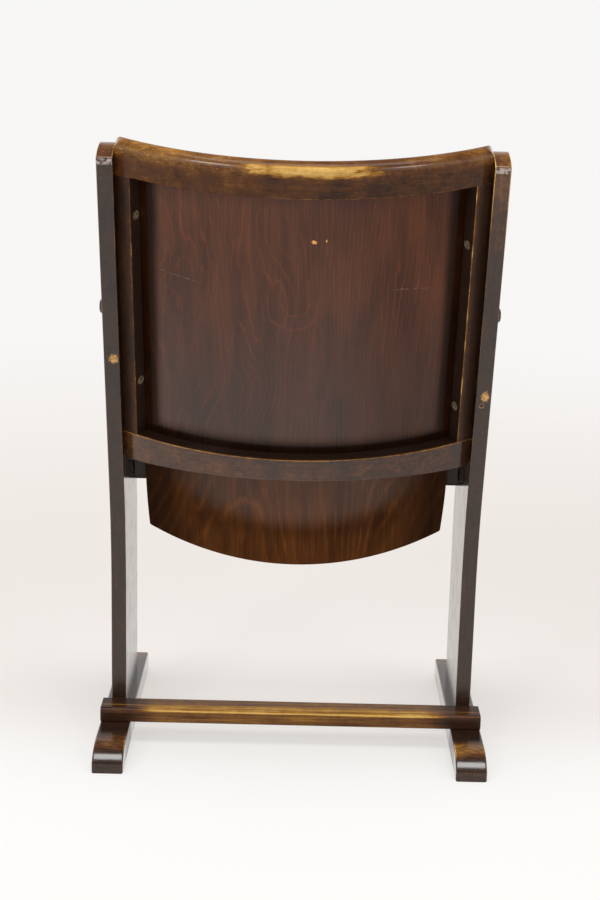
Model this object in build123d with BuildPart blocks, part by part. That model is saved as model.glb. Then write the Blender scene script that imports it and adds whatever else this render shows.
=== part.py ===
from build123d import *
import os
from math import asin, cos, degrees, hypot, radians, sin, sqrt, tan

# Tip up auditorium seat: two shaped side boards on runner feet, a curved framed back between
# the boards, and a plywood seat on a light frame that tips up about two pivot pins.
# Millimetres. The sitter faces -Y, +X is the sitter's left, Z is up and the floor is Z = 0.
# The origin lies on the floor, in the middle of the overall box.
# Drawn in the rest position, with the seat tipped up.
# "Reach" is measured up the lean of the back, from the point where the upright and the leaning
# rear edges of a side board would cross.

# ---------------------------------------------------------------- driving sizes
# side boards
overall_width = 520.0        # across the outer faces of the two boards
board_thickness = 21.0
board_depth = 163.0          # front to rear in the upright lower part
lean_angle = 15.6            # lean of the back, degrees from upright
knee_height = 297.2          # where the upright and the leaning rear edges would cross
bend_radius = 584.0          # rear edge, between the upright and the leaning part
board_reach = 559.5          # up to the rear arris of the top end
board_top_depth = 62.0       # across the leaning upper part
board_top_crown = 6.0        # rise of the rounded top end
board_top_rear_round = 3.0
board_top_front_round = 20.0
neck_reach = 214.0           # where the front edge joins the narrow upper part
neck_radius = 150.0
shoulder_set_in = 17.0       # shoulder behind the lower front edge
shoulder_height = 430.0
shoulder_radius = 45.0
hip_height = 300.0           # top of the straight lower front edge
hip_radius = 150.0
board_ease = 1.8             # eased long edges

# runner feet
foot_width = 43.0
foot_height = 32.0
foot_overhang = 12.0         # foot outside the board's outer face
foot_front_reach = 241.0     # ahead of the boards' rear edges
foot_rear_reach = 143.0      # behind the boards' rear edges
toe_length = 40.0            # rounded drop at the rear end
toe_end_height = 14.0
foot_front_round = 6.0
foot_ease = 2.5

# rear stretcher
stretcher_depth = 39.5
stretcher_height = 20.0
stretcher_round = 6.0        # top rear arris
stretcher_ease = 1.5         # other long edges

# back frame, on one arc in plan
frame_radius = 425.0         # rear face
frame_thickness = 26.0
frame_recess = 14.0          # rear face at the ends, ahead of the boards' rear edges
frame_gap = 0.3              # between the frame's ends and the boards
opening_width = 438.0        # between the stiles, at the rear face
opening_start = 164.0
opening_height = 369.2
top_rail_height = 44.3
bottom_rail_height = 31.0    # in the middle
bottom_rail_arch = 12.0      # drop of the lower edge at the ends
crest_round = 11.5
frame_top_corner = 14.0      # rounded upper ends, seen from behind
frame_low_corner = 8.5
frame_corner_spill = 0.2     # the corner roundings meet the ends at a slight angle
frame_ease = 1.2
tenon_thickness = 9.0
tenon_width = 16.0
tenon_length = 18.0
tenon_shoulder = 8.0         # beside the opening
tenon_cover = 9.0            # behind the tenon
panel_thickness = 6.0
panel_overlap = 12.0         # edge of the panel over the frame
panel_clearance = 0.3        # round the panel's edge

# seat
pivot_set_in = 85.0          # pivot ahead of the boards' lower rear edges
pivot_height = 395.0
seat_lean = 13.0             # past upright, tipped up
seat_slope = 6.0             # rise towards the front, turned down
seat_rear_reach = 162.0      # from the pivot to the middle of the rear edge
seat_front_reach = 228.0     # from the pivot to the middle of the front edge
seat_rear_radius = 400.0
seat_tail_width = 425.0      # rear end of the panel
seat_waist_width = 434.0     # panel at the pivots
seat_panel_width = 462.0     # panel ahead of the pivots
seat_tail_corner = 4.0
seat_front_bow = 8.0
seat_front_corner = 34.0
flare_start = 4.0            # where the panel begins to widen, behind the pivot
flare_length = 84.0
seat_panel_thickness = 10.0
seat_panel_ease = 2.0
seat_rise = 15.0             # underside of the panel above the pivot
tail_curve_start = 56.0
tail_curve_radius = 1100.0
front_curve_start = 130.0
front_curve_radius = 220.0
rail_thickness = 26.0
rail_below_pivot = 21.0
rail_heel = 45.0             # rear end of the side rails behind the pivot, on their underside
rail_heel_slant = 18.0       # set back of the rear end at the top
rail_front_set_in = 23.0     # front end of the side rails behind the panel's front edge
rail_ease = 1.5
cross_rail_width = 35.0
rear_cross_rail_depth = 22.0
rear_cross_rail_lead = 12.0  # rear edge of the rear cross rail ahead of the pivots
front_cross_rail_set_in = 28.0  # behind the panel's front edge
front_cross_rail_drop = 10.0  # underside of the front cross rail below the pivot

# pivots
pin_radius = 6.0
pin_clearance = 0.05         # running fit in the bush
pin_end_gap = 2.0            # pin end inside the rail's inner face
bush_radius = 8.0
plate_thickness = 3.0
plate_width = 34.0
plate_height = 52.0
plate_corner = 6.0
plate_screw_across = 18.0
plate_screw_along = 36.0
washer_thickness = 2.0
washer_radius = 13.0
washer_clearance = 0.2       # round the pin
side_play = 0.25             # on either side of the washer

# stops
block_thickness = 28.0
block_front_margin = 14.0    # behind the board's lower front edge
block_bottom = 350.0
block_ease = 1.0
pad_thickness = 3.5
pad_gap = 0.3                # to the rail at either end of the travel
pad_corner_margin = 3.0
pad_width = 20.0
down_pad_length = 26.0
up_pad_length = 13.0

# fastenings
slot_width = 1.3
slot_depth = 1.2
point_ratio = 2.0            # length of a screw's point, in shank radii
point_radius = 0.4
back_screw_length = 45.0
back_screw_radius = 3.0
back_screw_head = 6.2
back_screw_depth = 12.5      # from the rear face of the stile
back_screw_reaches_left = (243.3, 479.8)
back_screw_reaches_right = (214.8, 449.8)
panel_screw_length = 16.0
panel_screw_radius = 1.5
panel_screw_head = 3.0
panel_screws_across = 5
panel_screws_up = 3
plate_screw_length = 18.0
plate_screw_radius = 2.0
plate_screw_head = 4.0
block_screw_length = 44.0
block_screw_radius = 2.5
block_screw_head = 5.0
block_screw_margin = 8.0
block_screw_spread = 13.0
seat_screw_radius = 2.0
seat_screw_head = 4.0
seat_screw_bite = 6.5        # into the panel
side_rail_screw_sink = 14.0
side_rail_screw_places = (-115.0, -60.0)
cross_rail_screw_places = (-150.0, -55.0, 55.0, 150.0)
foot_screw_length = 80.0
foot_screw_radius = 3.0
foot_screw_head = 6.0
foot_screw_sink = 2.0
foot_screw_places = (-103.0, -60.0)
stretcher_screw_length = 44.0
stretcher_screw_spread = 20.0
foot_dowel_radius = 5.0
foot_dowel_length = 44.0
foot_dowel_places = (-135.0, -28.0)
seat_dowel_radius = 4.0
seat_dowel_length = 36.0
seat_dowel_spread = 15.0
bolt_reach = 345.0
bolt_set_in = 26.0           # ahead of the boards' rear edges
bolt_length = 34.0
bolt_radius = 3.0
bolt_clearance = 0.25
bolt_head_radius = 10.0
bolt_head_height = 5.5
bolt_head_round = 4.5
insert_radius = 5.0
insert_length = 14.0
insert_set_in = 1.0          # below the stile's outer face

# ---------------------------------------------------------------- worked out from the sizes
hands = (("left", 1), ("right", -1))
board_outer_x = overall_width / 2
board_inner_x = board_outer_x - board_thickness
board_middle_x = board_outer_x - board_thickness / 2
foot_outer_x = board_outer_x + foot_overhang
foot_inner_x = foot_outer_x - foot_width
foot_middle_x = foot_outer_x - foot_width / 2
lean = radians(lean_angle)
bend_length = bend_radius * tan(lean / 2)
frame_half = board_inner_x - frame_gap
frame_front_radius = frame_radius - frame_thickness
panel_rear_radius = frame_front_radius + panel_thickness
arc_centre = -frame_recess - sqrt(frame_radius**2 - frame_half**2)
opening_angle = asin(opening_width / 2 / frame_radius)
panel_angle = opening_angle + panel_overlap / panel_rear_radius
opening_end = opening_start + opening_height
crest_reach = opening_end + top_rail_height
frame_low_middle = opening_start - bottom_rail_height
frame_low_end = frame_low_middle - bottom_rail_arch
# the rearmost point is on the rounding of the crest, in the middle
crest_middle = arc_centre + frame_radius - crest_round
rear_reach = (crest_reach - crest_round) * sin(lean) + crest_middle * cos(lean) + crest_round
board_rear_y = (foot_front_reach - rear_reach) / 2
pivot_y = board_rear_y - pivot_set_in
plate_inner_x = board_inner_x - plate_thickness
washer_outer_x = plate_inner_x - side_play
rail_outer_x = washer_outer_x - washer_thickness - side_play
rail_inner_x = rail_outer_x - rail_thickness
rail_middle_x = rail_outer_x - rail_thickness / 2
rail_front_reach = seat_front_reach - rail_front_set_in
front_cross_rail_reach = seat_front_reach - front_cross_rail_set_in
rear_cross_rail_drop = rear_cross_rail_depth - seat_rise
rear_cross_rail_middle = -rear_cross_rail_lead - cross_rail_width / 2
front_cross_rail_middle = -front_cross_rail_reach + cross_rail_width / 2
turn_up = -(90 + seat_lean)
turn_down = -seat_slope
seat_travel = turn_down - turn_up
pad_face = rail_below_pivot + pad_gap
block_face = pad_face + pad_thickness
# the two sloped faces of a stop block meet this far along the rail from the pivot
block_corner = block_face * tan(radians(seat_travel) / 2)
block_front = -board_depth + block_front_margin
block_inner_x = board_inner_x - block_thickness
pad_inner_x = (block_inner_x + rail_outer_x - pad_width) / 2
tenon_angle = opening_angle + (tenon_shoulder + tenon_width / 2) / frame_radius
tenon_radius = frame_radius - tenon_cover - tenon_thickness / 2


# ---------------------------------------------------------------- planes and points
def span_start(hand, inner, outer):
    """Lesser x of a span on the left side, or of its mirror image on the right side."""
    return inner if hand > 0 else -outer


def side_plane(x):
    """Plane across X: first axis rearward from the boards' rear edges, second axis up."""
    return Plane(origin=(x, board_rear_y, 0), x_dir=(0, 1, 0), z_dir=(1, 0, 0))


def back_plane(reach):
    """Plane across the lean: first axis +X, second axis to the rear."""
    origin = (0, board_rear_y + reach * sin(lean), knee_height + reach * cos(lean))
    return Plane(origin=origin, x_dir=(1, 0, 0), z_dir=(0, sin(lean), cos(lean)))


def back_view_plane():
    """Plane along the lean: first axis +X, second axis the reach."""
    return Plane(origin=(0, board_rear_y, knee_height), x_dir=(1, 0, 0), z_dir=(0, -cos(lean), sin(lean)))


def along_lean(reach, depth):
    """Point of a side plane from its reach and its depth towards the rear."""
    rearward = reach * sin(lean) + depth * cos(lean)
    return (rearward, knee_height + reach * cos(lean) - depth * sin(lean))


def on_arc(radius, angle):
    """Point of a back plane on a circle of the frame's arc, at an angle from the middle."""
    return (radius * sin(angle), arc_centre + radius * cos(angle))


def posed(turn, along, up):
    """Point of a side plane for a place on the seat, with the seat turned by an angle."""
    rearward = along * cos(radians(turn)) - up * sin(radians(turn))
    return (rearward - pivot_set_in, pivot_height + along * sin(radians(turn)) + up * cos(radians(turn)))


def seat_point(x, along, up):
    """Point in space on the tipped up seat, rearward and upward of the pivot line."""
    rearward, height = posed(turn_up, along, up)
    return Vector(x, board_rear_y + rearward, height)


seat_rearward = seat_point(0, 1, 0) - seat_point(0, 0, 0)
seat_upward = seat_point(0, 0, 1) - seat_point(0, 0, 0)


def seat_side_plane(x):
    """Plane across X: first axis towards the seat's rear edge, second axis off its face."""
    return Plane(origin=seat_point(x, 0, 0), x_dir=seat_rearward, z_dir=(1, 0, 0))


def seat_plane(up):
    """Plane along the seat: first axis +X, second axis towards the seat's rear edge."""
    return Plane(origin=seat_point(0, 0, up), x_dir=(1, 0, 0), z_dir=seat_upward)


def panel_height(along, above=0.0):
    """Height over the pivot line of a layer of the seat panel above its underside."""
    front_radius = front_curve_radius + above
    tail_radius = tail_curve_radius - above
    past_front = max(0.0, -along - front_curve_start)
    past_tail = max(0.0, along - tail_curve_start)
    drop = front_radius - sqrt(front_radius**2 - past_front**2)
    lift = tail_radius - sqrt(tail_radius**2 - past_tail**2)
    return seat_rise + above - drop + lift


# ---------------------------------------------------------------- fastenings and their holes
def screw(length, radius, head, sink=0.0, mode=Mode.ADD):
    """Countersunk screw or its hole, pointing down from the present locations."""
    top = (Align.CENTER, Align.CENTER, Align.MAX)
    point = point_ratio * radius
    with Locations((0, 0, -sink)):
        Cylinder(radius, length - point, align=top, mode=mode)
        Cone(radius, head, head - radius, align=top, mode=mode)
        if mode == Mode.ADD:
            Box(3 * head, slot_width, slot_depth, align=top, mode=Mode.SUBTRACT)
        elif sink > 0:
            Cylinder(head, sink, align=(Align.CENTER, Align.CENTER, Align.MIN), mode=mode)
    with Locations((0, 0, -sink - length + point)):
        Cone(point_radius, radius, point, align=top, mode=mode)


def back_fixing_screws(side, hand, mode=Mode.ADD):
    """Screws square to a stile's inner face, through the stile into the board."""
    x, depth = on_arc(frame_radius - back_screw_depth, opening_angle)
    reaches = back_screw_reaches_left if side == "left" else back_screw_reaches_right
    for reach in reaches:
        base = back_plane(reach)
        head = base.from_local_coords((hand * x, depth, 0))
        inward = base.y_dir * sin(opening_angle) - base.x_dir * (hand * cos(opening_angle))
        with Locations(Plane(origin=head, x_dir=base.z_dir, z_dir=inward)):
            screw(back_screw_length, back_screw_radius, back_screw_head, mode=mode)


def panel_screws(mode=Mode.ADD):
    """Small screws round the back panel's edge, driven from the front into the frame."""
    edge = panel_overlap / 2
    places = []
    for column in range(panel_screws_across):
        x = (column - (panel_screws_across - 1) / 2) * opening_width / panel_screws_across
        places.append((opening_start - edge, asin(x / frame_front_radius)))
        places.append((opening_end + edge, asin(x / frame_front_radius)))
    for row in range(panel_screws_up):
        reach = opening_start + opening_height * (row + 0.5) / panel_screws_up
        angle = opening_angle + edge / frame_front_radius
        places.append((reach, angle))
        places.append((reach, -angle))
    for reach, angle in places:
        base = back_plane(reach)
        head = base.from_local_coords((*on_arc(frame_front_radius, angle), 0))
        forward = base.x_dir * -sin(angle) - base.y_dir * cos(angle)
        with Locations(Plane(origin=head, x_dir=base.z_dir, z_dir=forward)):
            screw(panel_screw_length, panel_screw_radius, panel_screw_head, mode=mode)


def plate_screws(hand, mode=Mode.ADD):
    """Four screws through a pivot plate into the board."""
    face = Plane(origin=(hand * plate_inner_x, pivot_y, pivot_height), x_dir=(0, 0, 1), z_dir=(-hand, 0, 0))
    with Locations(face):
        with GridLocations(plate_screw_along, plate_screw_across, 2, 2):
            screw(plate_screw_length, plate_screw_radius, plate_screw_head, mode=mode)


def block_screws(hand, mode=Mode.ADD):
    """Two screws through a stop block into the board."""
    for step in (0, 1):
        y = board_rear_y + block_front + block_screw_margin + step * block_screw_spread
        head = (hand * block_inner_x, y, block_bottom + block_screw_margin + block_ease)
        with Locations(Plane(origin=head, x_dir=(0, 0, 1), z_dir=(-hand, 0, 0))):
            screw(block_screw_length, block_screw_radius, block_screw_head, mode=mode)


def foot_screws(hand, mode=Mode.ADD):
    """Long screws from under a foot into the end of the board."""
    for place in foot_screw_places:
        head = (hand * board_middle_x, board_rear_y + place, 0)
        with Locations(Plane(origin=head, x_dir=(1, 0, 0), z_dir=(0, 0, -1))):
            screw(foot_screw_length, foot_screw_radius, foot_screw_head, foot_screw_sink, mode)


def stretcher_screws(hand, mode=Mode.ADD):
    """Screws from under a foot into the stretcher."""
    for step in (-0.5, 0.5):
        x = hand * (foot_middle_x + step * stretcher_screw_spread)
        head = (x, board_rear_y + stretcher_depth / 2, 0)
        with Locations(Plane(origin=head, x_dir=(1, 0, 0), z_dir=(0, 0, -1))):
            screw(stretcher_screw_length, foot_screw_radius, foot_screw_head, foot_screw_sink, mode)


def foot_dowels(hand, mode=Mode.ADD):
    """Dowels across the joint of a board and its foot."""
    for place in foot_dowel_places:
        with Locations((hand * board_middle_x, board_rear_y + place, foot_height)):
            Cylinder(foot_dowel_radius, foot_dowel_length, mode=mode)


def seat_dowels(hand, mode=Mode.ADD):
    """Dowels across the joints of the two cross rails and a side rail."""
    rear_up = seat_rise - rear_cross_rail_depth / 2
    front_up = (panel_height(-front_cross_rail_reach) - front_cross_rail_drop) / 2
    for along, up in ((rear_cross_rail_middle, rear_up), (front_cross_rail_middle, front_up)):
        for step in (-0.5, 0.5):
            centre = seat_point(hand * rail_inner_x, along + step * seat_dowel_spread, up)
            with Locations(Plane(origin=centre, x_dir=seat_rearward, z_dir=(1, 0, 0))):
                Cylinder(seat_dowel_radius, seat_dowel_length, mode=mode)


def seat_screw(x, along, bottom, sink=0.0, mode=Mode.ADD):
    """Screw from under a rail of the seat frame into the seat panel."""
    length = panel_height(along) - bottom - sink + seat_screw_bite
    head = seat_point(x, along, bottom)
    with Locations(Plane(origin=head, x_dir=(1, 0, 0), z_dir=seat_upward * -1)):
        screw(length, seat_screw_radius, seat_screw_head, sink, mode)


def cross_rail_screws(mode=Mode.ADD):
    """Screws from under the two cross rails into the seat panel."""
    for x in cross_rail_screw_places:
        seat_screw(x, rear_cross_rail_middle, -rear_cross_rail_drop, mode=mode)
        seat_screw(x, front_cross_rail_middle, -front_cross_rail_drop, mode=mode)


def side_rail_screws(hand, mode=Mode.ADD):
    """Deep set screws from under a side rail into the seat panel."""
    for place in side_rail_screw_places:
        seat_screw(hand * rail_middle_x, place, -rail_below_pivot, side_rail_screw_sink, mode)


def bolt_plane(x, hand):
    """Plane across a side bolt, facing outwards, at a distance x from the middle."""
    rearward, height = along_lean(bolt_reach, -bolt_set_in)
    return Plane(origin=(hand * x, board_rear_y + rearward, height), x_dir=(0, hand, 0), z_dir=(hand, 0, 0))


def pivot_plane(x, hand):
    """Plane across a pivot pin, facing outwards, at a distance x from the middle."""
    return Plane(origin=(hand * x, pivot_y, pivot_height), x_dir=(0, hand, 0), z_dir=(hand, 0, 0))


# ---------------------------------------------------------------- back frame as one ring
def arc_section(inner, outer):
    """Strip of the frame's arc between two radii, from board to board."""
    with Locations((0, arc_centre)):
        Circle(outer)
        Circle(inner, mode=Mode.SUBTRACT)
        Rectangle(2 * frame_half, outer, align=(Align.CENTER, Align.MIN), mode=Mode.INTERSECT)


def keep_within(angle):
    """Trim an arc strip to a half angle on either side of the middle."""
    far = 2 * frame_radius
    with BuildLine() as wedge:
        Polyline((0, arc_centre), on_arc(far, angle), on_arc(far, -angle), close=True)
    make_face(wedge.edges(), mode=Mode.INTERSECT)


def ring_edges(radius, lowest, highest):
    """Edges of the ring within the opening's width, by radius and reach of their middles."""
    chosen = []
    for edge in edges():
        spot = back_plane(0).to_local_coords(edge.position_at(0.5))
        on_radius = abs(hypot(spot.X, spot.Y - arc_centre) - radius) < 0.01
        in_reach = lowest - 0.01 < spot.Z < highest + 0.01
        if on_radius and in_reach and abs(spot.X) < opening_width / 2 + 0.01:
            chosen.append(edge)
    return chosen


def ring():
    """Whole back frame in one piece, before it is parted into rails and stiles."""
    with BuildSketch(back_plane(frame_low_end)) as strip:
        arc_section(frame_front_radius, frame_radius)
    extrude(strip.sketch, amount=crest_reach - frame_low_end)
    with BuildSketch(back_view_plane()) as arch:
        with BuildLine():
            ends = ((-frame_half, frame_low_end), (frame_half, frame_low_end))
            ThreePointArc(ends[0], (0, frame_low_middle), ends[1])
            Line(*ends)
        make_face()
    extrude(arch.sketch, amount=frame_radius, both=True, mode=Mode.SUBTRACT)
    crest = ring_edges(frame_radius, crest_reach, crest_reach)
    crest += ring_edges(frame_front_radius, crest_reach, crest_reach)
    fillet(crest, crest_round)
    low_edges = ring_edges(frame_radius, frame_low_end, frame_low_middle)
    low_edges += ring_edges(frame_front_radius, frame_low_end, frame_low_middle)
    fillet(low_edges, frame_ease)
    with BuildSketch(back_view_plane()) as outline:
        width = 2 * (frame_half + frame_corner_spill)
        height = crest_reach - frame_low_end + 2 * frame_corner_spill
        with Locations((0, (crest_reach + frame_low_end) / 2)):
            Rectangle(width, height)
        fillet(outline.vertices().group_by(Axis.Y)[-1], frame_top_corner)
        fillet(outline.vertices().group_by(Axis.Y)[0], frame_low_corner)
    extrude(outline.sketch, amount=frame_radius, both=True, mode=Mode.INTERSECT)
    with BuildSketch(back_plane(opening_start)) as opening:
        arc_section(frame_front_radius - 1, frame_radius + 1)
        keep_within(opening_angle)
    extrude(opening.sketch, amount=opening_height, mode=Mode.SUBTRACT)
    fillet(ring_edges(frame_radius, opening_start, opening_end), frame_ease)
    margin = panel_overlap + panel_clearance
    with BuildSketch(back_plane(opening_start - margin)) as rebate:
        arc_section(frame_front_radius - 1, panel_rear_radius)
        keep_within(panel_angle + panel_clearance / panel_rear_radius)
    extrude(rebate.sketch, amount=opening_height + 2 * margin, mode=Mode.SUBTRACT)


def keep_reach(lowest, highest):
    """Trim the ring to a stretch of its reach."""
    with BuildSketch(back_view_plane()) as stretch:
        with Locations((0, lowest)):
            Rectangle(overall_width, highest - lowest, align=(Align.CENTER, Align.MIN))
    extrude(stretch.sketch, amount=frame_radius, both=True, mode=Mode.INTERSECT)


def tenon(hand, reach, mode=Mode.ADD):
    """Tenon of a stile above the given reach, or its mortise."""
    with BuildSketch(back_plane(reach)) as section:
        with Locations(on_arc(tenon_radius, hand * tenon_angle)):
            Rectangle(tenon_width, tenon_thickness, rotation=-hand * degrees(tenon_angle))
    extrude(section.sketch, amount=tenon_length, mode=mode)


os.makedirs("parts", exist_ok=True)

# ---------------------------------------------------------------- side boards
neck = along_lean(neck_reach, -board_top_depth)
shoulder = (shoulder_set_in - board_depth, shoulder_height)
hip = (-board_depth, hip_height)
top_rear = along_lean(board_reach, 0)
top_front = along_lean(board_reach, -board_top_depth)
board_corners = (
    (neck, neck_radius),
    (shoulder, shoulder_radius),
    (hip, hip_radius),
    (top_rear, board_top_rear_round),
    (top_front, board_top_front_round),
)
for side, hand in hands:
    with BuildPart() as side_board:
        with BuildSketch(side_plane(span_start(hand, board_inner_x, board_outer_x))) as outline:
            with BuildLine():
                bend = (0, knee_height - bend_length)
                Line((0, foot_height), bend)
                TangentArc(bend, along_lean(bend_length, 0), tangent=(0, 1))
                Line(along_lean(bend_length, 0), top_rear)
                crown = along_lean(board_reach + board_top_crown, -board_top_depth / 2)
                ThreePointArc(top_rear, crown, top_front)
                Polyline(top_front, neck, shoulder, hip, (-board_depth, foot_height), (0, foot_height))
            make_face()
            for corner, radius in board_corners:
                fillet(outline.vertices().sort_by_distance(corner)[0], radius)
        extrude(amount=board_thickness)
        long_edges = side_board.faces().filter_by(Axis.X).edges()
        fillet(long_edges.filter_by(lambda edge: edge.center().Z > foot_height + 1), board_ease)
        back_fixing_screws(side, hand, Mode.SUBTRACT)
        plate_screws(hand, Mode.SUBTRACT)
        block_screws(hand, Mode.SUBTRACT)
        foot_screws(hand, Mode.SUBTRACT)
        foot_dowels(hand, Mode.SUBTRACT)
        with Locations(bolt_plane(board_middle_x, hand)):
            Cylinder(bolt_radius + bolt_clearance, 2 * board_thickness, mode=Mode.SUBTRACT)
    side_board.part.label = f"{side}_side_board"
    export_step(side_board.part, f"parts/{side}_side_board.step")

# ---------------------------------------------------------------- runner feet
for side, hand in hands:
    with BuildPart() as foot:
        with BuildSketch(side_plane(span_start(hand, foot_inner_x, foot_outer_x))) as outline:
            toe_start = (foot_rear_reach - toe_length, foot_height)
            with BuildLine():
                Line((-foot_front_reach, foot_height), toe_start)
                TangentArc(toe_start, (foot_rear_reach, toe_end_height), tangent=(1, 0))
                Polyline(
                    (foot_rear_reach, toe_end_height),
                    (foot_rear_reach, 0),
                    (-foot_front_reach, 0),
                    (-foot_front_reach, foot_height),
                )
            make_face()
            fillet(outline.vertices().group_by(Axis.X)[0], foot_front_round)
        extrude(amount=foot_width)
        long_edges = foot.faces().filter_by(Axis.X).edges()
        fillet(long_edges.filter_by(lambda edge: edge.center().Z > foot_ease), foot_ease)
        foot_screws(hand, Mode.SUBTRACT)
        stretcher_screws(hand, Mode.SUBTRACT)
        foot_dowels(hand, Mode.SUBTRACT)
    foot.part.label = f"{side}_foot"
    export_step(foot.part, f"parts/{side}_foot.step")

# ---------------------------------------------------------------- rear stretcher
with BuildPart() as rear_stretcher:
    with Locations((0, board_rear_y, foot_height)):
        Box(
            2 * foot_outer_x,
            stretcher_depth,
            stretcher_height,
            align=(Align.CENTER, Align.MIN, Align.MIN),
        )
    top_edges = rear_stretcher.edges().filter_by(Axis.X).group_by(Axis.Z)[-1]
    fillet(top_edges.sort_by(Axis.Y)[-1], stretcher_round)
    low_edges = rear_stretcher.edges().filter_by(Axis.X).group_by(Axis.Z)[0]
    fillet(low_edges.sort_by(Axis.Y)[-1], stretcher_ease)
    for side, hand in hands:
        stretcher_screws(hand, Mode.SUBTRACT)
rear_stretcher.part.label = "rear_stretcher"
export_step(rear_stretcher.part, "parts/rear_stretcher.step")

# ---------------------------------------------------------------- back frame
with BuildPart() as top_rail:
    ring()
    keep_reach(opening_end, crest_reach + 1)
    for side, hand in hands:
        tenon(hand, opening_end, Mode.SUBTRACT)
    panel_screws(Mode.SUBTRACT)
top_rail.part.label = "top_rail"
export_step(top_rail.part, "parts/top_rail.step")

with BuildPart() as bottom_rail:
    ring()
    keep_reach(frame_low_end - 1, opening_start)
    for side, hand in hands:
        tenon(hand, opening_start - tenon_length, Mode.SUBTRACT)
    panel_screws(Mode.SUBTRACT)
bottom_rail.part.label = "bottom_rail"
export_step(bottom_rail.part, "parts/bottom_rail.step")

for side, hand in hands:
    with BuildPart() as stile:
        ring()
        keep_reach(opening_start, opening_end)
        with BuildSketch(side_plane(0)):
            Rectangle(4 * frame_radius, 4 * crest_reach)
        extrude(amount=-hand * overall_width, mode=Mode.SUBTRACT)
        tenon(hand, opening_end)
        tenon(hand, opening_start - tenon_length)
        back_fixing_screws(side, hand, Mode.SUBTRACT)
        panel_screws(Mode.SUBTRACT)
        with Locations(bolt_plane(frame_half, hand)):
            Cylinder(insert_radius, 2 * (insert_set_in + insert_length), mode=Mode.SUBTRACT)
    stile.part.label = f"{side}_stile"
    export_step(stile.part, f"parts/{side}_stile.step")

with BuildPart() as back_panel:
    with BuildSketch(back_plane(opening_start - panel_overlap)):
        arc_section(frame_front_radius, panel_rear_radius)
        keep_within(panel_angle)
    extrude(amount=opening_height + 2 * panel_overlap)
    panel_screws(Mode.SUBTRACT)
back_panel.part.label = "back_panel"
export_step(back_panel.part, "parts/back_panel.step")

# ---------------------------------------------------------------- fastenings of the frame
with BuildPart() as back_screw_set:
    for side, hand in hands:
        back_fixing_screws(side, hand)
back_screw_set.part.label = "back_fixing_screws"
export_step(back_screw_set.part, "parts/back_fixing_screws.step")

with BuildPart() as panel_screw_set:
    panel_screws()
panel_screw_set.part.label = "back_panel_screws"
export_step(panel_screw_set.part, "parts/back_panel_screws.step")

with BuildPart() as foot_screw_set:
    for side, hand in hands:
        foot_screws(hand)
foot_screw_set.part.label = "foot_screws"
export_step(foot_screw_set.part, "parts/foot_screws.step")

with BuildPart() as foot_dowel_set:
    for side, hand in hands:
        foot_dowels(hand)
foot_dowel_set.part.label = "foot_dowels"
export_step(foot_dowel_set.part, "parts/foot_dowels.step")

with BuildPart() as stretcher_screw_set:
    for side, hand in hands:
        stretcher_screws(hand)
stretcher_screw_set.part.label = "stretcher_screws"
export_step(stretcher_screw_set.part, "parts/stretcher_screws.step")

with BuildPart() as side_bolts:
    for side, hand in hands:
        with Locations(bolt_plane(board_outer_x, hand)):
            Cylinder(bolt_head_radius, bolt_head_height, align=(Align.CENTER, Align.CENTER, Align.MIN))
            Cylinder(bolt_radius, bolt_length, align=(Align.CENTER, Align.CENTER, Align.MAX))
    rims = side_bolts.edges().filter_by(GeomType.CIRCLE).group_by(Axis.X)
    fillet(rims[0] + rims[-1], bolt_head_round)
side_bolts.part.label = "side_bolts"
export_step(side_bolts.part, "parts/side_bolts.step")

with BuildPart() as side_bolt_inserts:
    for side, hand in hands:
        with Locations(bolt_plane(frame_half - insert_set_in, hand)):
            Cylinder(insert_radius, insert_length, align=(Align.CENTER, Align.CENTER, Align.MAX))
            Cylinder(bolt_radius, 3 * insert_length, mode=Mode.SUBTRACT)
side_bolt_inserts.part.label = "side_bolt_inserts"
export_step(side_bolt_inserts.part, "parts/side_bolt_inserts.step")

# ---------------------------------------------------------------- pivots
for side, hand in hands:
    with BuildPart() as pivot_plate:
        with BuildSketch(pivot_plane(plate_inner_x, hand)):
            RectangleRounded(plate_width, plate_height, plate_corner)
        extrude(amount=plate_thickness)
        pin_length = plate_inner_x - rail_inner_x - pin_end_gap
        with Locations(pivot_plane(plate_inner_x, hand)):
            Cylinder(pin_radius, pin_length, align=(Align.CENTER, Align.CENTER, Align.MAX))
        plate_screws(hand, Mode.SUBTRACT)
    pivot_plate.part.label = f"{side}_pivot_plate"
    export_step(pivot_plate.part, f"parts/{side}_pivot_plate.step")

    with BuildPart() as pivot_washer:
        with Locations(pivot_plane(washer_outer_x, hand)):
            Cylinder(washer_radius, washer_thickness, align=(Align.CENTER, Align.CENTER, Align.MAX))
            Cylinder(pin_radius + washer_clearance, 3 * washer_thickness, mode=Mode.SUBTRACT)
    pivot_washer.part.label = f"{side}_pivot_washer"
    export_step(pivot_washer.part, f"parts/{side}_pivot_washer.step")

    with BuildPart() as pivot_bush:
        with Locations(pivot_plane(rail_middle_x, hand)):
            Cylinder(bush_radius, rail_thickness)
            Cylinder(pin_radius + pin_clearance, 2 * rail_thickness, mode=Mode.SUBTRACT)
    pivot_bush.part.label = f"{side}_pivot_bush"
    export_step(pivot_bush.part, f"parts/{side}_pivot_bush.step")

with BuildPart() as plate_screw_set:
    for side, hand in hands:
        plate_screws(hand)
plate_screw_set.part.label = "pivot_plate_screws"
export_step(plate_screw_set.part, "parts/pivot_plate_screws.step")

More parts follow.
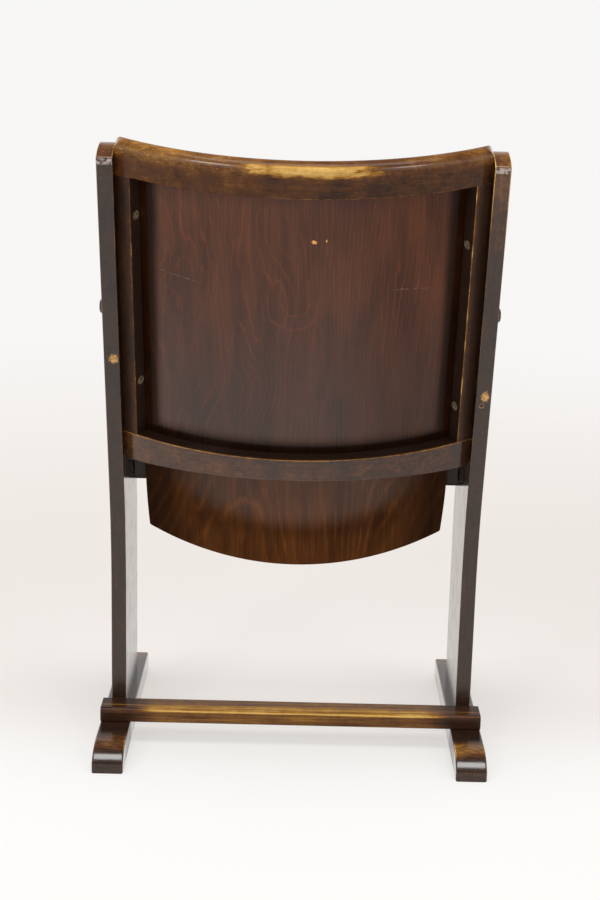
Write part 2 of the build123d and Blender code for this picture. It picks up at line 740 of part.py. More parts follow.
# ---------------------------------------------------------------- stops
corner = posed(turn_down, -block_corner, -block_face)
top_front_height = corner[1] + (corner[0] - block_front) * tan(radians(seat_slope))
low_rear = corner[0] - (corner[1] - block_bottom) * tan(radians(seat_lean))
for side, hand in hands:
    with BuildPart() as stop_block:
        with BuildSketch(side_plane(span_start(hand, block_inner_x, board_inner_x))) as outline:
            with BuildLine():
                Polyline(
                    corner,
                    (block_front, top_front_height),
                    (block_front, block_bottom),
                    (low_rear, block_bottom),
                    close=True,
                )
            make_face()
            fillet(outline.vertices(), block_ease)
        extrude(amount=block_thickness)
        block_screws(hand, Mode.SUBTRACT)
    stop_block.part.label = f"{side}_stop_block"
    export_step(stop_block.part, f"parts/{side}_stop_block.step")

with BuildPart() as block_screw_set:
    for side, hand in hands:
        block_screws(hand)
block_screw_set.part.label = "stop_block_screws"
export_step(block_screw_set.part, "parts/stop_block_screws.step")


def pads(turn, start, stop):
    """Rubber pads on the two stop blocks, against the side rails at one end of the travel."""
    for side, hand in hands:
        with BuildSketch(side_plane(span_start(hand, pad_inner_x, pad_inner_x + pad_width))) as section:
            with BuildLine():
                Polyline(
                    posed(turn, start, -block_face),
                    posed(turn, stop, -block_face),
                    posed(turn, stop, -pad_face),
                    posed(turn, start, -pad_face),
                    close=True,
                )
            make_face()
        extrude(section.sketch, amount=pad_width)


pad_start = block_corner + pad_corner_margin
with BuildPart() as down_stop_pads:
    pads(turn_down, -pad_start, -pad_start - down_pad_length)
down_stop_pads.part.label = "down_stop_pads"
export_step(down_stop_pads.part, "parts/down_stop_pads.step")

with BuildPart() as up_stop_pads:
    pads(turn_up, pad_start, pad_start + up_pad_length)
up_stop_pads.part.label = "up_stop_pads"
export_step(up_stop_pads.part, "parts/up_stop_pads.step")

# ---------------------------------------------------------------- seat panel
with BuildPart() as seat_panel:
    with BuildSketch(seat_side_plane(-seat_panel_width / 2)):
        front_end = -seat_front_reach - 1
        rear_end = seat_rear_reach + 1
        for_top = seat_panel_thickness
        low_front = (-front_curve_start, panel_height(0))
        low_tail = (tail_curve_start, panel_height(0))
        high_front = (-front_curve_start, panel_height(0, for_top))
        high_tail = (tail_curve_start, panel_height(0, for_top))
        front_tip = (front_end, panel_height(front_end))
        rear_tip = (rear_end, panel_height(rear_end))
        high_front_tip = (front_end, panel_height(front_end, for_top))
        high_rear_tip = (rear_end, panel_height(rear_end, for_top))
        with BuildLine():
            TangentArc(low_front, front_tip, tangent=(-1, 0))
            Line(low_front, low_tail)
            TangentArc(low_tail, rear_tip, tangent=(1, 0))
            Line(rear_tip, high_rear_tip)
            TangentArc(high_tail, high_rear_tip, tangent=(1, 0))
            Line(high_tail, high_front)
            TangentArc(high_front, high_front_tip, tangent=(-1, 0))
            Line(high_front_tip, front_tip)
        make_face()
    extrude(amount=seat_panel_width)
    with BuildSketch(seat_plane(0)) as outline:
        tail = seat_tail_width / 2
        waist = seat_waist_width / 2
        half = seat_panel_width / 2
        tail_side = seat_rear_reach - seat_rear_radius + sqrt(seat_rear_radius**2 - tail**2)
        front_side = seat_front_bow - seat_front_reach
        flare_end = flare_start - flare_length
        flare_middle = ((waist + half) / 2, (flare_start + flare_end) / 2)
        with BuildLine():
            TangentArc((0, seat_rear_reach), (tail, tail_side), tangent=(1, 0))
            TangentArc((waist, flare_start), (tail, tail_side), tangent=(0, 1))
            flare = TangentArc((waist, flare_start), flare_middle, tangent=(0, -1))
            TangentArc(flare_middle, (half, flare_end), tangent=flare % 1)
            Line((half, flare_end), (half, front_side))
            TangentArc((0, -seat_front_reach), (half, front_side), tangent=(1, 0))
            mirror(about=Plane.YZ)
        make_face()
        for hand in (1, -1):
            rear_corner = outline.vertices().sort_by_distance((hand * tail, tail_side))[0]
            fillet(rear_corner, seat_tail_corner)
            front_corner = outline.vertices().sort_by_distance((hand * half, front_side))[0]
            fillet(front_corner, seat_front_corner)
    extrude(amount=seat_front_reach, both=True, mode=Mode.INTERSECT)
    walls = seat_panel.faces().filter_by(lambda face: abs(face.normal_at().dot(seat_upward)) < 0.001)
    rims = walls.edges().filter_by(lambda edge: abs((edge % 0.5).dot(seat_upward)) < 0.9)
    fillet(rims, seat_panel_ease)
    cross_rail_screws(Mode.SUBTRACT)
    for side, hand in hands:
        side_rail_screws(hand, Mode.SUBTRACT)
seat_panel.part.label = "seat_panel"
export_step(seat_panel.part, "parts/seat_panel.step")

# ---------------------------------------------------------------- seat frame
for side, hand in hands:
    with BuildPart() as seat_rail:
        with BuildSketch(seat_side_plane(span_start(hand, rail_inner_x, rail_outer_x))):
            with BuildLine():
                rail_top_end = (-rail_front_reach, panel_height(-rail_front_reach))
                TangentArc((-front_curve_start, seat_rise), rail_top_end, tangent=(-1, 0))
                Polyline(
                    rail_top_end,
                    (-rail_front_reach, -rail_below_pivot),
                    (rail_heel, -rail_below_pivot),
                    (rail_heel - rail_heel_slant, seat_rise),
                    (-front_curve_start, seat_rise),
                )
            make_face()
        extrude(amount=rail_thickness)
        under = seat_rail.faces().sort_by(Axis(seat_point(0, 0, 0), seat_upward))[0]
        fillet(under.edges(), rail_ease)
        with Locations(pivot_plane(rail_middle_x, hand)):
            Cylinder(bush_radius, 2 * rail_thickness, mode=Mode.SUBTRACT)
        seat_dowels(hand, Mode.SUBTRACT)
        side_rail_screws(hand, Mode.SUBTRACT)
    seat_rail.part.label = f"{side}_seat_rail"
    export_step(seat_rail.part, f"parts/{side}_seat_rail.step")

with BuildPart() as rear_cross_rail:
    with BuildSketch(seat_plane(-rear_cross_rail_drop)):
        with Locations((0, rear_cross_rail_middle)):
            Rectangle(2 * rail_inner_x, cross_rail_width)
    extrude(amount=rear_cross_rail_depth)
    for side, hand in hands:
        seat_dowels(hand, Mode.SUBTRACT)
    cross_rail_screws(Mode.SUBTRACT)
rear_cross_rail.part.label = "rear_cross_rail"
export_step(rear_cross_rail.part, "parts/rear_cross_rail.step")

with BuildPart() as front_cross_rail:
    with BuildSketch(seat_side_plane(-rail_inner_x)):
        front_end = -front_cross_rail_reach
        rear_end = front_end + cross_rail_width
        with BuildLine():
            # the top follows the curve of the panel
            curve_middle = (front_cross_rail_middle, panel_height(front_cross_rail_middle))
            ThreePointArc((front_end, panel_height(front_end)), curve_middle, (rear_end, panel_height(rear_end)))
            Polyline(
                (rear_end, panel_height(rear_end)),
                (rear_end, -front_cross_rail_drop),
                (front_end, -front_cross_rail_drop),
                (front_end, panel_height(front_end)),
            )
        make_face()
    extrude(amount=2 * rail_inner_x)
    for side, hand in hands:
        seat_dowels(hand, Mode.SUBTRACT)
    cross_rail_screws(Mode.SUBTRACT)
front_cross_rail.part.label = "front_cross_rail"
export_step(front_cross_rail.part, "parts/front_cross_rail.step")

with BuildPart() as seat_dowel_set:
    for side, hand in hands:
        seat_dowels(hand)
seat_dowel_set.part.label = "seat_dowels"
export_step(seat_dowel_set.part, "parts/seat_dowels.step")

with BuildPart() as seat_screw_set:
    cross_rail_screws()
    for side, hand in hands:
        side_rail_screws(hand)
seat_screw_set.part.label = "seat_panel_screws"
export_step(seat_screw_set.part, "parts/seat_panel_screws.step")
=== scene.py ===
"""Looks of a tip up auditorium seat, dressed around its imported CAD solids.

All lengths in the materials are in millimetres, and all objects are in metres. The sitter faces
-Y, +X is the sitter's left and the floor is Z = 0. The photograph shows the seat from behind.
"""

import logging
import math
from dataclasses import dataclass
from enum import Enum
from typing import Any, Optional, Sequence, Union

import bmesh
import bpy
from mathutils import Euler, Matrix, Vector


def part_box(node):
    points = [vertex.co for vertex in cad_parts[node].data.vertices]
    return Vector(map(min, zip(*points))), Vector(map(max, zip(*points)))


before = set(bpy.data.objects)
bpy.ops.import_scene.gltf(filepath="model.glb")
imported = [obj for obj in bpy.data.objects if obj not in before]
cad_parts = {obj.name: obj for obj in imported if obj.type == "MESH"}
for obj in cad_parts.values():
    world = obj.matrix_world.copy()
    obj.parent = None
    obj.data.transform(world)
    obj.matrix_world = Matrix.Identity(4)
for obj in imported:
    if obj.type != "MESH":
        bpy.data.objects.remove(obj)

log = logging.getLogger("seat")

Colour = tuple[float, float, float]
Number = Union[int, float]
Operand = Union["Value", Number]
Pair = tuple[float, float]
Spot = tuple[float, float, float]
Settings = Optional[dict[str, Any]]
Inputs = Optional[dict[Any, Any]]

COAT_ROUGHNESS = 0.16


# ---- shader expressions
class Value:
    """A number that varies over a surface; Python's operators add its Math nodes."""

    def __init__(self, bench: "Bench", socket: bpy.types.NodeSocket) -> None:
        """Wrap an output socket of a bench."""
        self.bench = bench
        self.socket = socket

    def _math(self, operation: str, *operands: Operand) -> "Value":
        """Add a Math node with these operands, in order."""
        return self.bench.value("ShaderNodeMath", {"operation": operation}, dict(enumerate(operands)))

    def __add__(self, other: Operand) -> "Value":
        """Sum."""
        return self._math("ADD", self, other)

    def __sub__(self, other: Operand) -> "Value":
        """Difference."""
        return self._math("SUBTRACT", self, other)

    def __rsub__(self, other: Operand) -> "Value":
        """Difference, reflected."""
        return self._math("SUBTRACT", other, self)

    def __mul__(self, other: Operand) -> "Value":
        """Product."""
        return self._math("MULTIPLY", self, other)

    def __truediv__(self, other: Operand) -> "Value":
        """Quotient."""
        return self._math("DIVIDE", self, other)

    def __rtruediv__(self, other: Operand) -> "Value":
        """Quotient, reflected."""
        return self._math("DIVIDE", other, self)

    def __pow__(self, other: Operand) -> "Value":
        """Power."""
        return self._math("POWER", self, other)

    def __neg__(self) -> "Value":
        """Negative."""
        return self._math("MULTIPLY", self, -1.0)

    def __abs__(self) -> "Value":
        """Size without its sign."""
        return self._math("ABSOLUTE", self)

    def least(self, other: Operand) -> "Value":
        """Lesser of the two."""
        return self._math("MINIMUM", self, other)

    def most(self, other: Operand) -> "Value":
        """Greater of the two."""
        return self._math("MAXIMUM", self, other)

    def root(self) -> "Value":
        """Square root."""
        return self._math("SQRT", self)

    def sine(self) -> "Value":
        """Sine of an angle in radians."""
        return self._math("SINE", self)

    def angle_from(self, other: Operand) -> "Value":
        """Angle in radians whose tangent is this number over the other."""
        return self._math("ARCTAN2", self, other)

    def rise(self, low: Number, high: Number) -> "Value":
        """Smooth rise from 0 to 1 between two limits."""
        settings = {"interpolation_type": "SMOOTHSTEP", "clamp": True}
        return self.bench.value("ShaderNodeMapRange", settings, {0: self, 1: low, 2: high, 3: 0.0, 4: 1.0})

    def band(self, low: Number, high: Number, soft: Number) -> "Value":
        """1 between two limits and 0 outside them, with sides eased over a half width."""
        return self.rise(low - soft, low + soft) * (1 - self.rise(high - soft, high + soft))


def longer(first: Value, second: Value) -> Value:
    """Length of a vector from two parts that are square to each other."""
    return (first * first + second * second).root()


def turned(first: Value, second: Value, angle: float) -> tuple[Value, Value]:
    """The two parts of a vector in a frame that is turned by an angle from the first to the second."""
    cos, sin = math.cos(angle), math.sin(angle)
    return first * cos + second * sin, second * cos - first * sin


class Bench:
    """Node tree of one material, or of the world. One method adds every kind of node."""

    def __init__(self, owner: Union[str, bpy.types.World]) -> None:
        """Start an empty tree.

        Args:
            owner: Name of a new material, or the world.
        """
        self.owner = bpy.data.materials.new(owner) if isinstance(owner, str) else owner
        self.owner.use_nodes = True
        self.tree = self.owner.node_tree
        self.tree.nodes.clear()

    def node(self, kind: str, settings: Settings = None, inputs: Inputs = None) -> bpy.types.Node:
        """Add a node, set it up, then feed its sockets.

        Args:
            kind: The node's type.
            settings: Its properties, set first. "stops" gives a ramp's positions and colours.
            inputs: Values, colours or links, by the sockets' names or numbers.

        Returns:
            The new node.
        """
        node = self.tree.nodes.new(kind)
        for key, setting in (settings or {}).items():
            if key == "stops":
                ramp = node.color_ramp
                while len(ramp.elements) < len(setting):
                    ramp.elements.new(0.5)
                for element, (place, colour) in zip(ramp.elements, setting):
                    element.position = place
                    element.color = (*colour, 1.0)
            else:
                setattr(node, key, setting)
        for key, fed in (inputs or {}).items():
            socket = node.inputs[key]
            fed = fed.socket if isinstance(fed, Value) else fed
            if isinstance(fed, bpy.types.NodeSocket):
                self.tree.links.new(fed, socket)
            elif isinstance(fed, tuple) and socket.type == "RGBA":
                socket.default_value = (*fed, 1.0)
            else:
                socket.default_value = fed
        return node

    def value(self, kind: str, settings: Settings = None, inputs: Inputs = None, out: Any = 0) -> Value:
        """Output of a new node, by its name or number, as a value."""
        return Value(self, self.node(kind, settings, inputs).outputs[out])

    def vector(self, x: Operand, y: Operand, z: Operand) -> bpy.types.NodeSocket:
        """Vector from three numbers."""
        return self.node("ShaderNodeCombineXYZ", None, {0: x, 1: y, 2: z}).outputs[0]

    def noise(
        self, parts: Sequence[Operand], detail: float = 2.0, roughness: float = 0.5, warp: float = 0.0
    ) -> Value:
        """Cloudy noise between 0 and 1, at a place whose parts are divided by the feature size."""
        inputs = {"Scale": 1.0, "Detail": detail, "Roughness": roughness, "Distortion": warp}
        return self.value("ShaderNodeTexNoise", None, {**inputs, "Vector": self.vector(*parts)}, "Fac")

    def blend(self, share: Operand, first: Any, second: Any, kind: str = "MIX") -> bpy.types.NodeSocket:
        """Blend two colours or their sockets: a share of 0 gives the first, 1 the second."""
        settings = {"data_type": "RGBA", "blend_type": kind, "clamp_factor": True}
        return self.node("ShaderNodeMix", settings, {0: share, 6: first, 7: second}).outputs[2]

    def toned(self, colour: Any, tone: Value) -> bpy.types.NodeSocket:
        """Colour multiplied by a number."""
        return self.blend(1.0, colour, self.vector(tone, tone, tone), "MULTIPLY")

    def rays(self) -> tuple[Value, Value]:
        """Tell the rays that show the backdrop from those that light the seat.

        Returns:
            1 for camera, mirrored and refracted rays, and 1 for mirrored rays.
        """
        path = self.node("ShaderNodeLightPath").outputs
        glossy = Value(self, path["Is Glossy Ray"])
        seen = Value(self, path["Is Camera Ray"]).most(glossy)
        return seen.most(Value(self, path["Is Transmission Ray"])), glossy

    def mix(self, share: Operand, first: bpy.types.Node, second: bpy.types.Node) -> bpy.types.Node:
        """Shader that goes from the first to the second as the share goes from 0 to 1."""
        shaders = {0: share, 1: first.outputs[0], 2: second.outputs[0]}
        return self.node("ShaderNodeMixShader", None, shaders)

    def close(self, kind: str, shader: bpy.types.Node) -> None:
        """Close the tree with an output of the given type."""
        self.node(kind, None, {"Surface": shader.outputs[0]})

    def finish(
        self,
        colour: Any,
        roughness: Operand,
        height: Value,
        depth: float,
        metallic: float = 0.0,
        gloss: float = 0.5,
        coat: Operand = 0.0,
    ) -> bpy.types.Material:
        """Close the tree with a shader.

        Args:
            colour: Base colour or its socket.
            roughness: Roughness or its expression.
            height: Relief, from 0 to 1.
            depth: Height of the relief in millimetres.
            metallic: 0 for wood and rubber, 1 for metal.
            gloss: Specular level.
            coat: Share of clear polish on top.

        Returns:
            The finished material.
        """
        bump = {"Strength": 1.0, "Distance": depth / 1000, "Height": height}
        inputs = {
            "Base Color": colour,
            "Roughness": roughness,
            "Metallic": metallic,
            "Specular IOR Level": gloss,
            "Coat Weight": coat,
            "Coat Roughness": COAT_ROUGHNESS,
            "Normal": self.node("ShaderNodeBump", None, bump).outputs[0],
        }
        self.close("ShaderNodeOutputMaterial", self.node("ShaderNodeBsdfPrincipled", None, inputs))
        return self.owner


# ---- where a point of the seat is
@dataclass(frozen=True)
class Layout:
    """Places that the materials are laid out from, in millimetres."""

    board_rear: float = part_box("rear_stretcher")[0].y * 1000
    knee_height: float = 297.2
    lean: float = math.radians(15.6)
    arc_radius: float = 425.0
    arc_centre: float = -365.635
    pivot_set_in: float = 85.0
    pivot_height: float = 395.0
    seat_turn: float = math.radians(-103.0)


LAYOUT = Layout()


@dataclass(frozen=True)
class Mark:
    """Middle and half widths of a mark on a surface, in millimetres."""

    across: float
    along: float
    width: float
    height: float

    def far(self, across: Value, along: Value) -> Value:
        """Distance from the mark's middle, which is 1 at its rim."""
        return longer((across - self.across) / self.width, (along - self.along) / self.height)


@dataclass(frozen=True)
class Knot(Mark):
    """Place round which the figure of a veneer bends, with its strength counted in lines."""

    strength: float


@dataclass(frozen=True)
class Arch(Mark):
    """Lower half of a ring in the figure. Its line's half width is a share of the ring's radius."""

    line: float


class Place:
    """Object coordinates and normals of a surface point, in the maker's own directions."""

    def __init__(self, bench: Bench) -> None:
        """Read the coordinates.

        Args:
            bench: The material's node bench.
        """
        self.bench = bench
        source = bench.node("ShaderNodeTexCoord")
        spot = bench.node("ShaderNodeSeparateXYZ", None, {0: source.outputs["Object"]})
        facing = bench.node("ShaderNodeSeparateXYZ", None, {0: source.outputs["Normal"]})
        self.x, self.y, self.z = (Value(bench, out) * 1000.0 for out in spot.outputs)
        self.facing_x, self.facing_y, self.facing_z = (Value(bench, out) for out in facing.outputs)

    def back(self) -> tuple[Value, Value]:
        """Reach up the lean and depth square to it, from the knee of the boards."""
        return turned(self.z - LAYOUT.knee_height, self.y - LAYOUT.board_rear, LAYOUT.lean)

    def back_facing(self) -> tuple[Value, Value]:
        """Parts of the normal up the lean and square to it."""
        return turned(self.facing_z, self.facing_y, LAYOUT.lean)

    def arc(self) -> tuple[Value, Value]:
        """Radius from the centre of the back's arc, and distance round that arc from its middle."""
        depth = self.back()[1] - LAYOUT.arc_centre
        return longer(self.x, depth), self.x.angle_from(depth) * LAYOUT.arc_radius

    def seat(self) -> tuple[Value, Value]:
        """Distance to the rear of the pivot line along the seat, and distance off its face."""
        pivot_y = LAYOUT.board_rear - LAYOUT.pivot_set_in
        return turned(self.y - pivot_y, self.z - LAYOUT.pivot_height, LAYOUT.seat_turn)

    def seat_facing(self) -> tuple[Value, Value]:
        """Parts of the normal along the seat and off its face."""
        return turned(self.facing_y, self.facing_z, LAYOUT.seat_turn)

    def spot(self, across: Value, along: Value, mark: Mark) -> Value:
        """1 in a ragged spot, such as a chip, and 0 outside."""
        ragged = self.bench.noise((across / 2.0, along / 2.0, 3.0), 4.0, 0.7) - 0.5
        return 1 - (mark.far(across, along) + ragged * 2.4).rise(0.7, 1.0)

    def scratch(self, across: Value, along: Value, start: Pair, end: Pair) -> Value:
        """Fine broken scratch between two points.

        Args:
            across: One coordinate on the surface.
            along: The other.
            start: The end with the lesser first coordinate.
            end: The other end.

        Returns:
            1 on the scratch and 0 beside it.
        """
        slope = (end[1] - start[1]) / (end[0] - start[0])
        wander = self.bench.noise((across / 14.0, 5.0, 1.0), 2.0, 0.6) * 5.0 - 2.5
        off = abs(along - start[1] - (across - start[0]) * slope + wander)
        broken = self.bench.noise((across / 5.0, along / 9.0, 6.0), 3.0, 0.7).rise(0.44, 0.6)
        return (1 - off.rise(0.25, 0.9)) * broken * across.band(start[0], end[0], 4.0)


@dataclass
class Grain:
    """The three directions of a piece of wood: along its fibres and across them."""

    along: Operand
    across: Operand
    through: Operand
    seed: float = 0.0

    def streaks(self, length: float, width: float, seed: float) -> tuple[Value, Value, Value]:
        """Place in the wood, counted in streaks of a length and a width in millimetres."""
        return self.along / length + seed, self.across / width, self.through / width

    def fibres(self, bench: Bench) -> Value:
        """Fine and coarse streaks along the wood."""
        fine = bench.noise(self.streaks(60.0, 1.5, self.seed), 3.0, 0.6)
        return fine * 0.5 + bench.noise(self.streaks(180.0, 5.25, -self.seed), 2.0, 0.6, 0.3) * 0.5

    def bands(self, bench: Bench) -> Value:
        """Broad tone bands along the wood."""
        return bench.noise(self.streaks(260.0, 11.0, self.seed), 2.0, 0.5, 0.4)

    def clouds(self, bench: Bench, size: float = 26.0) -> Value:
        """Mottled handling marks with no direction."""
        parts = (self.along / size + self.seed, self.across / size + 7.0, self.through / size)
        return bench.noise(parts, 3.0, 0.6)


# ---- finishes
@dataclass(frozen=True)
class DarkLacquer:
    """Dark brown glossy lacquer on beech, rubbed thin in steps down to golden wood."""

    tones: tuple[tuple[float, Colour], ...] = (
        (0.0, (0.023, 0.0115, 0.0075)),
        (0.25, (0.042, 0.0175, 0.0085)),
        (0.45, (0.105, 0.037, 0.0105)),
        (0.62, (0.195, 0.086, 0.020)),
        (0.78, (0.37, 0.170, 0.026)),
        (1.0, (0.66, 0.41, 0.12)),
    )
    chip: Colour = (0.66, 0.37, 0.10)
    chip_shade: Colour = (0.30, 0.115, 0.028)
    scuff: Colour = (0.46, 0.37, 0.34)
    nail_hole: Colour = (0.006, 0.002, 0.001)
    gloss: float = 0.17
    dull: float = 0.45
    shine: float = 0.22
    polish: float = 0.68
    mottle: float = 0.5
    streaks: float = 0.6
    specks: float = 0.3
    relief_depth: float = 0.12

    def material(
        self,
        bench: Bench,
        grain: Grain,
        wear: Operand,
        sheen: Operand = 1.0,
        chips: Optional[Value] = None,
        scuffs: Optional[Value] = None,
        holes: Optional[Value] = None,
    ) -> bpy.types.Material:
        """Make the finish.

        Args:
            bench: The new material's node bench.
            grain: The wood's directions.
            wear: 0 for sound lacquer, 0.5 for thin brown lacquer, 1 for bare wood.
            sheen: Share of the polish that is left.
            chips: Chips down to pale wood.
            scuffs: Greyed scuffs in the lacquer.
            holes: Dark old nail holes.

        Returns:
            The material.
        """
        fibres, clouds, specks = grain.fibres(bench), grain.clouds(bench), grain.clouds(bench, 5.0)
        ragged = wear + (clouds - 0.5) * self.mottle + (fibres - 0.5) * self.streaks
        ragged = ragged + (specks - 0.5) * self.specks
        colour: Any = bench.node("ShaderNodeValToRGB", {"stops": self.tones}, {0: ragged}).outputs[0]
        colour = bench.toned(colour, fibres * 0.5 + specks * 0.25 + 0.62)
        bare = ragged.rise(0.55, 0.85)
        roughness = clouds.rise(0.42, 0.75) * 0.1 + bare * (self.dull - self.gloss) + self.gloss
        relief = fibres * 0.25 + specks * 0.3 - bare * 0.4
        if scuffs is not None:
            colour = bench.blend(scuffs, colour, self.scuff)
            roughness = roughness + scuffs * 0.3
        if chips is not None:
            torn = bench.blend(specks.rise(0.4, 0.62), self.chip, self.chip_shade)
            colour = bench.blend(chips, colour, torn)
            roughness = roughness + chips * 0.3
            relief = relief - chips * 3.0
        if holes is not None:
            colour = bench.blend(holes, colour, self.nail_hole)
        coat = (1 - bare) * sheen * self.polish
        return bench.finish(colour, roughness, relief, self.relief_depth, gloss=self.shine, coat=coat)


@dataclass(frozen=True)
class FiguredVeneer:
    """Glossy reddish veneer with fine rising lines that bend round a few flames."""

    knots: tuple[Knot, ...]
    arches: tuple[Arch, ...]
    ground: Colour = (0.059, 0.0178, 0.0058)
    line: Colour = (0.225, 0.044, 0.0125)
    ply: Colour = (0.13, 0.06, 0.025)
    rubbed: Colour = (0.22, 0.095, 0.028)
    scratch: Colour = (0.34, 0.19, 0.13)
    chip: Colour = (0.85, 0.40, 0.10)
    chip_rim: Colour = (0.10, 0.012, 0.004)
    gloss: float = 0.16
    shine: float = 0.08
    relief_depth: float = 0.06
    line_gap: float = 6.0
    wide_gap: float = 12.0
    wide_from: float = -40.0
    sway: float = 7.0
    curl: float = 1.6
    slant: float = 0.0
    sharp: float = 13.0

    def figure(self, bench: Bench, across: Value, along: Value, seed: float) -> Value:
        """Lines of the figure.

        Args:
            bench: The node bench.
            across: Distance across the grain.
            along: Distance along the grain.
            seed: Shift of the pattern.

        Returns:
            0 between the lines and 1 on them.
        """
        sway = bench.noise((across / 75.0 + seed, along / 260.0, seed), 1.0, 0.4) - 0.5
        curl = bench.noise((across / 16.0, along / 75.0 + seed, 2.0 + seed), 2.0, 0.55) - 0.5
        fine = (across - self.wide_from).least(0.0) * (1 / self.line_gap - 1 / self.wide_gap)
        lines = across / self.wide_gap + fine + sway * self.sway + curl * self.curl
        if self.slant:
            lines = lines - along * abs(across).rise(45.0, 130.0) * (self.slant / self.wide_gap)
        for knot in self.knots:
            far = knot.far(across, along)
            lines = lines + knot.strength / (far * far + 1.0)
        wave = (lines * 2 * math.pi).sine() * 0.5 + 0.5
        strength = bench.noise((across / 28.0, along / 110.0, 9.0 + seed), 3.0, 0.6).rise(0.36, 0.7)
        broken = bench.noise((across / 1.6, along / 14.0, 4.0), 2.0, 0.6).rise(0.3, 0.65)
        figure = wave ** self.sharp * (strength * 0.85 + 0.15)
        for arch in self.arches:
            ring = 1 - abs(arch.far(across, along) - 1 + curl * 0.5).rise(0.0, arch.line)
            figure = figure.most(ring * (arch.along - along).rise(-6.0, 12.0) * 0.85)
        return figure * (broken * 0.7 + 0.3)

    def material(
        self,
        bench: Bench,
        across: Value,
        along: Value,
        seed: float,
        shade: Value,
        coat: Operand,
        plies: Optional[Value] = None,
        edge: Optional[Value] = None,
        scratches: Optional[Value] = None,
        chips: Optional[Value] = None,
    ) -> bpy.types.Material:
        """Make the finish.

        Args:
            bench: The new material's node bench.
            across: Distance across the grain in millimetres.
            along: Distance along the grain.
            seed: Shift of the pattern.
            shade: Share by which painted shade and painted dark reflections darken the veneer.
            coat: Share of clear polish left on it.
            plies: Stripes of the plies, where the panel's edge shows.
            edge: Wear along the panel's arrises.
            scratches: Fine pale scratches.
            chips: Chips down to pale wood.

        Returns:
            The material.
        """
        figure = self.figure(bench, across, along, seed)
        fine = bench.noise((across / 1.4, along / 90.0 + seed, seed), 4.0, 0.7)
        broad = bench.noise((across / 30.0 + seed, along / 150.0, 1.0), 3.0, 0.55)
        pale_ground = tuple(1.9 * part for part in self.ground)
        colour = bench.blend(broad.rise(0.3, 0.7), self.ground, pale_ground)
        colour = bench.blend(figure * 0.8, colour, self.line)
        colour = bench.blend(fine.rise(0.48, 0.8) * 0.3, colour, self.line)
        # The shade share darkens the colour: painted shade and painted dark reflections.
        colour = bench.toned(colour, (fine.rise(0.2, 0.6) * 0.4 + 0.6) * (1 - shade))
        roughness = broad.rise(0.4, 0.75) * 0.08 + self.gloss
        relief = fine * 0.3 + broad * 0.4
        if edge is not None:
            colour = bench.blend(edge, colour, self.rubbed)
            roughness = roughness + edge * 0.2
        if plies is not None:
            colour = bench.blend(plies, colour, self.ply)
        if scratches is not None:
            colour = bench.blend(scratches * 0.5, colour, self.scratch)
        if chips is not None:
            rim = chips.rise(0.02, 0.3)
            colour = bench.blend(rim, colour, self.chip_rim)
            colour = bench.blend(chips.rise(0.45, 0.8), colour, self.chip)
            roughness = roughness + rim * 0.3
            relief = relief - chips * 3.0
        return bench.finish(colour, roughness, relief, self.relief_depth, gloss=self.shine, coat=coat)


@dataclass(frozen=True)
class Beech:
    """Close grained beech with short ray flecks, stained or bare."""

    light: Colour
    dark: Colour
    roughness: float = 0.42

    def material(self, bench: Bench, grain: Grain) -> bpy.types.Material:
        """Make the finish.

        Args:
            bench: The new material's node bench.
            grain: The wood's directions.

        Returns:
            The material.
        """
        fibres, bands, clouds = grain.fibres(bench), grain.bands(bench), grain.clouds(bench)
        fleck_place = (grain.along / 5.0, grain.across / 0.8, grain.through / 2.0)
        flecks = bench.noise(fleck_place, 1.0).rise(0.62, 0.75)
        tone = bands.rise(0.3, 0.75) * 0.6 + fibres * 0.3 + clouds * 0.1
        colour = bench.blend(tone, self.light, self.dark)
        colour = bench.blend(flecks * 0.5, colour, self.dark)
        return bench.finish(colour, clouds * 0.15 + self.roughness, fibres * 0.5 + clouds * 0.3, 0.1)


@dataclass(frozen=True)
class Metal:
    """Turned or pressed metal, dulled by age, with tarnish in clouds."""

    bright: Colour
    tarnish: Colour
    roughness: float = 0.35

    def material(self, bench: Bench) -> bpy.types.Material:
        """Make the finish.

        Args:
            bench: The new material's node bench.

        Returns:
            The material.
        """
        place = Place(bench)
        clouds = bench.noise((place.x / 3.5, place.y / 3.5, place.z / 3.5), 4.0, 0.65)
        lines = bench.noise((place.x / 0.4, place.y / 0.4, place.z / 6.0), 2.0, 0.6)
        aged = clouds.rise(0.38, 0.66)
        colour = bench.blend(aged, self.bright, self.tarnish)
        roughness = aged * 0.25 + self.roughness + lines * 0.08
        return bench.finish(colour, roughness, clouds * 0.5 + lines * 0.3, 0.05, metallic=0.85)


@dataclass(frozen=True)
class Rubber:
    """Black rubber, greyed on its surface."""

    black: Colour = (0.018, 0.018, 0.018)
    grey: Colour = (0.05, 0.048, 0.045)

    def material(self, bench: Bench) -> bpy.types.Material:
        """Make the finish.

        Args:
            bench: The new material's node bench.

        Returns:
            The material.
        """
        place = Place(bench)
        clouds = bench.noise((place.x / 4.0, place.y / 4.0, place.z / 4.0), 4.0, 0.7)
        colour = bench.blend(clouds.rise(0.35, 0.75), self.black, self.grey)
        return bench.finish(colour, clouds * 0.2 + 0.6, clouds, 0.1)


STAINED_BEECH = Beech((0.040, 0.017, 0.008), (0.014, 0.007, 0.004))
BARE_BEECH = Beech((0.66, 0.46, 0.26), (0.42, 0.26, 0.13), 0.6)
STEEL = Metal((0.42, 0.39, 0.34), (0.16, 0.125, 0.085))
BLACKENED_STEEL = Metal((0.05, 0.045, 0.04), (0.018, 0.015, 0.012), 0.45)
DARK_BOLT = Metal((0.10, 0.085, 0.07), (0.035, 0.026, 0.02), 0.3)
OLD_BRASS = Metal((0.66, 0.54, 0.34), (0.11, 0.075, 0.045), 0.38)
BRASS = Metal((0.62, 0.44, 0.19), (0.24, 0.15, 0.06))


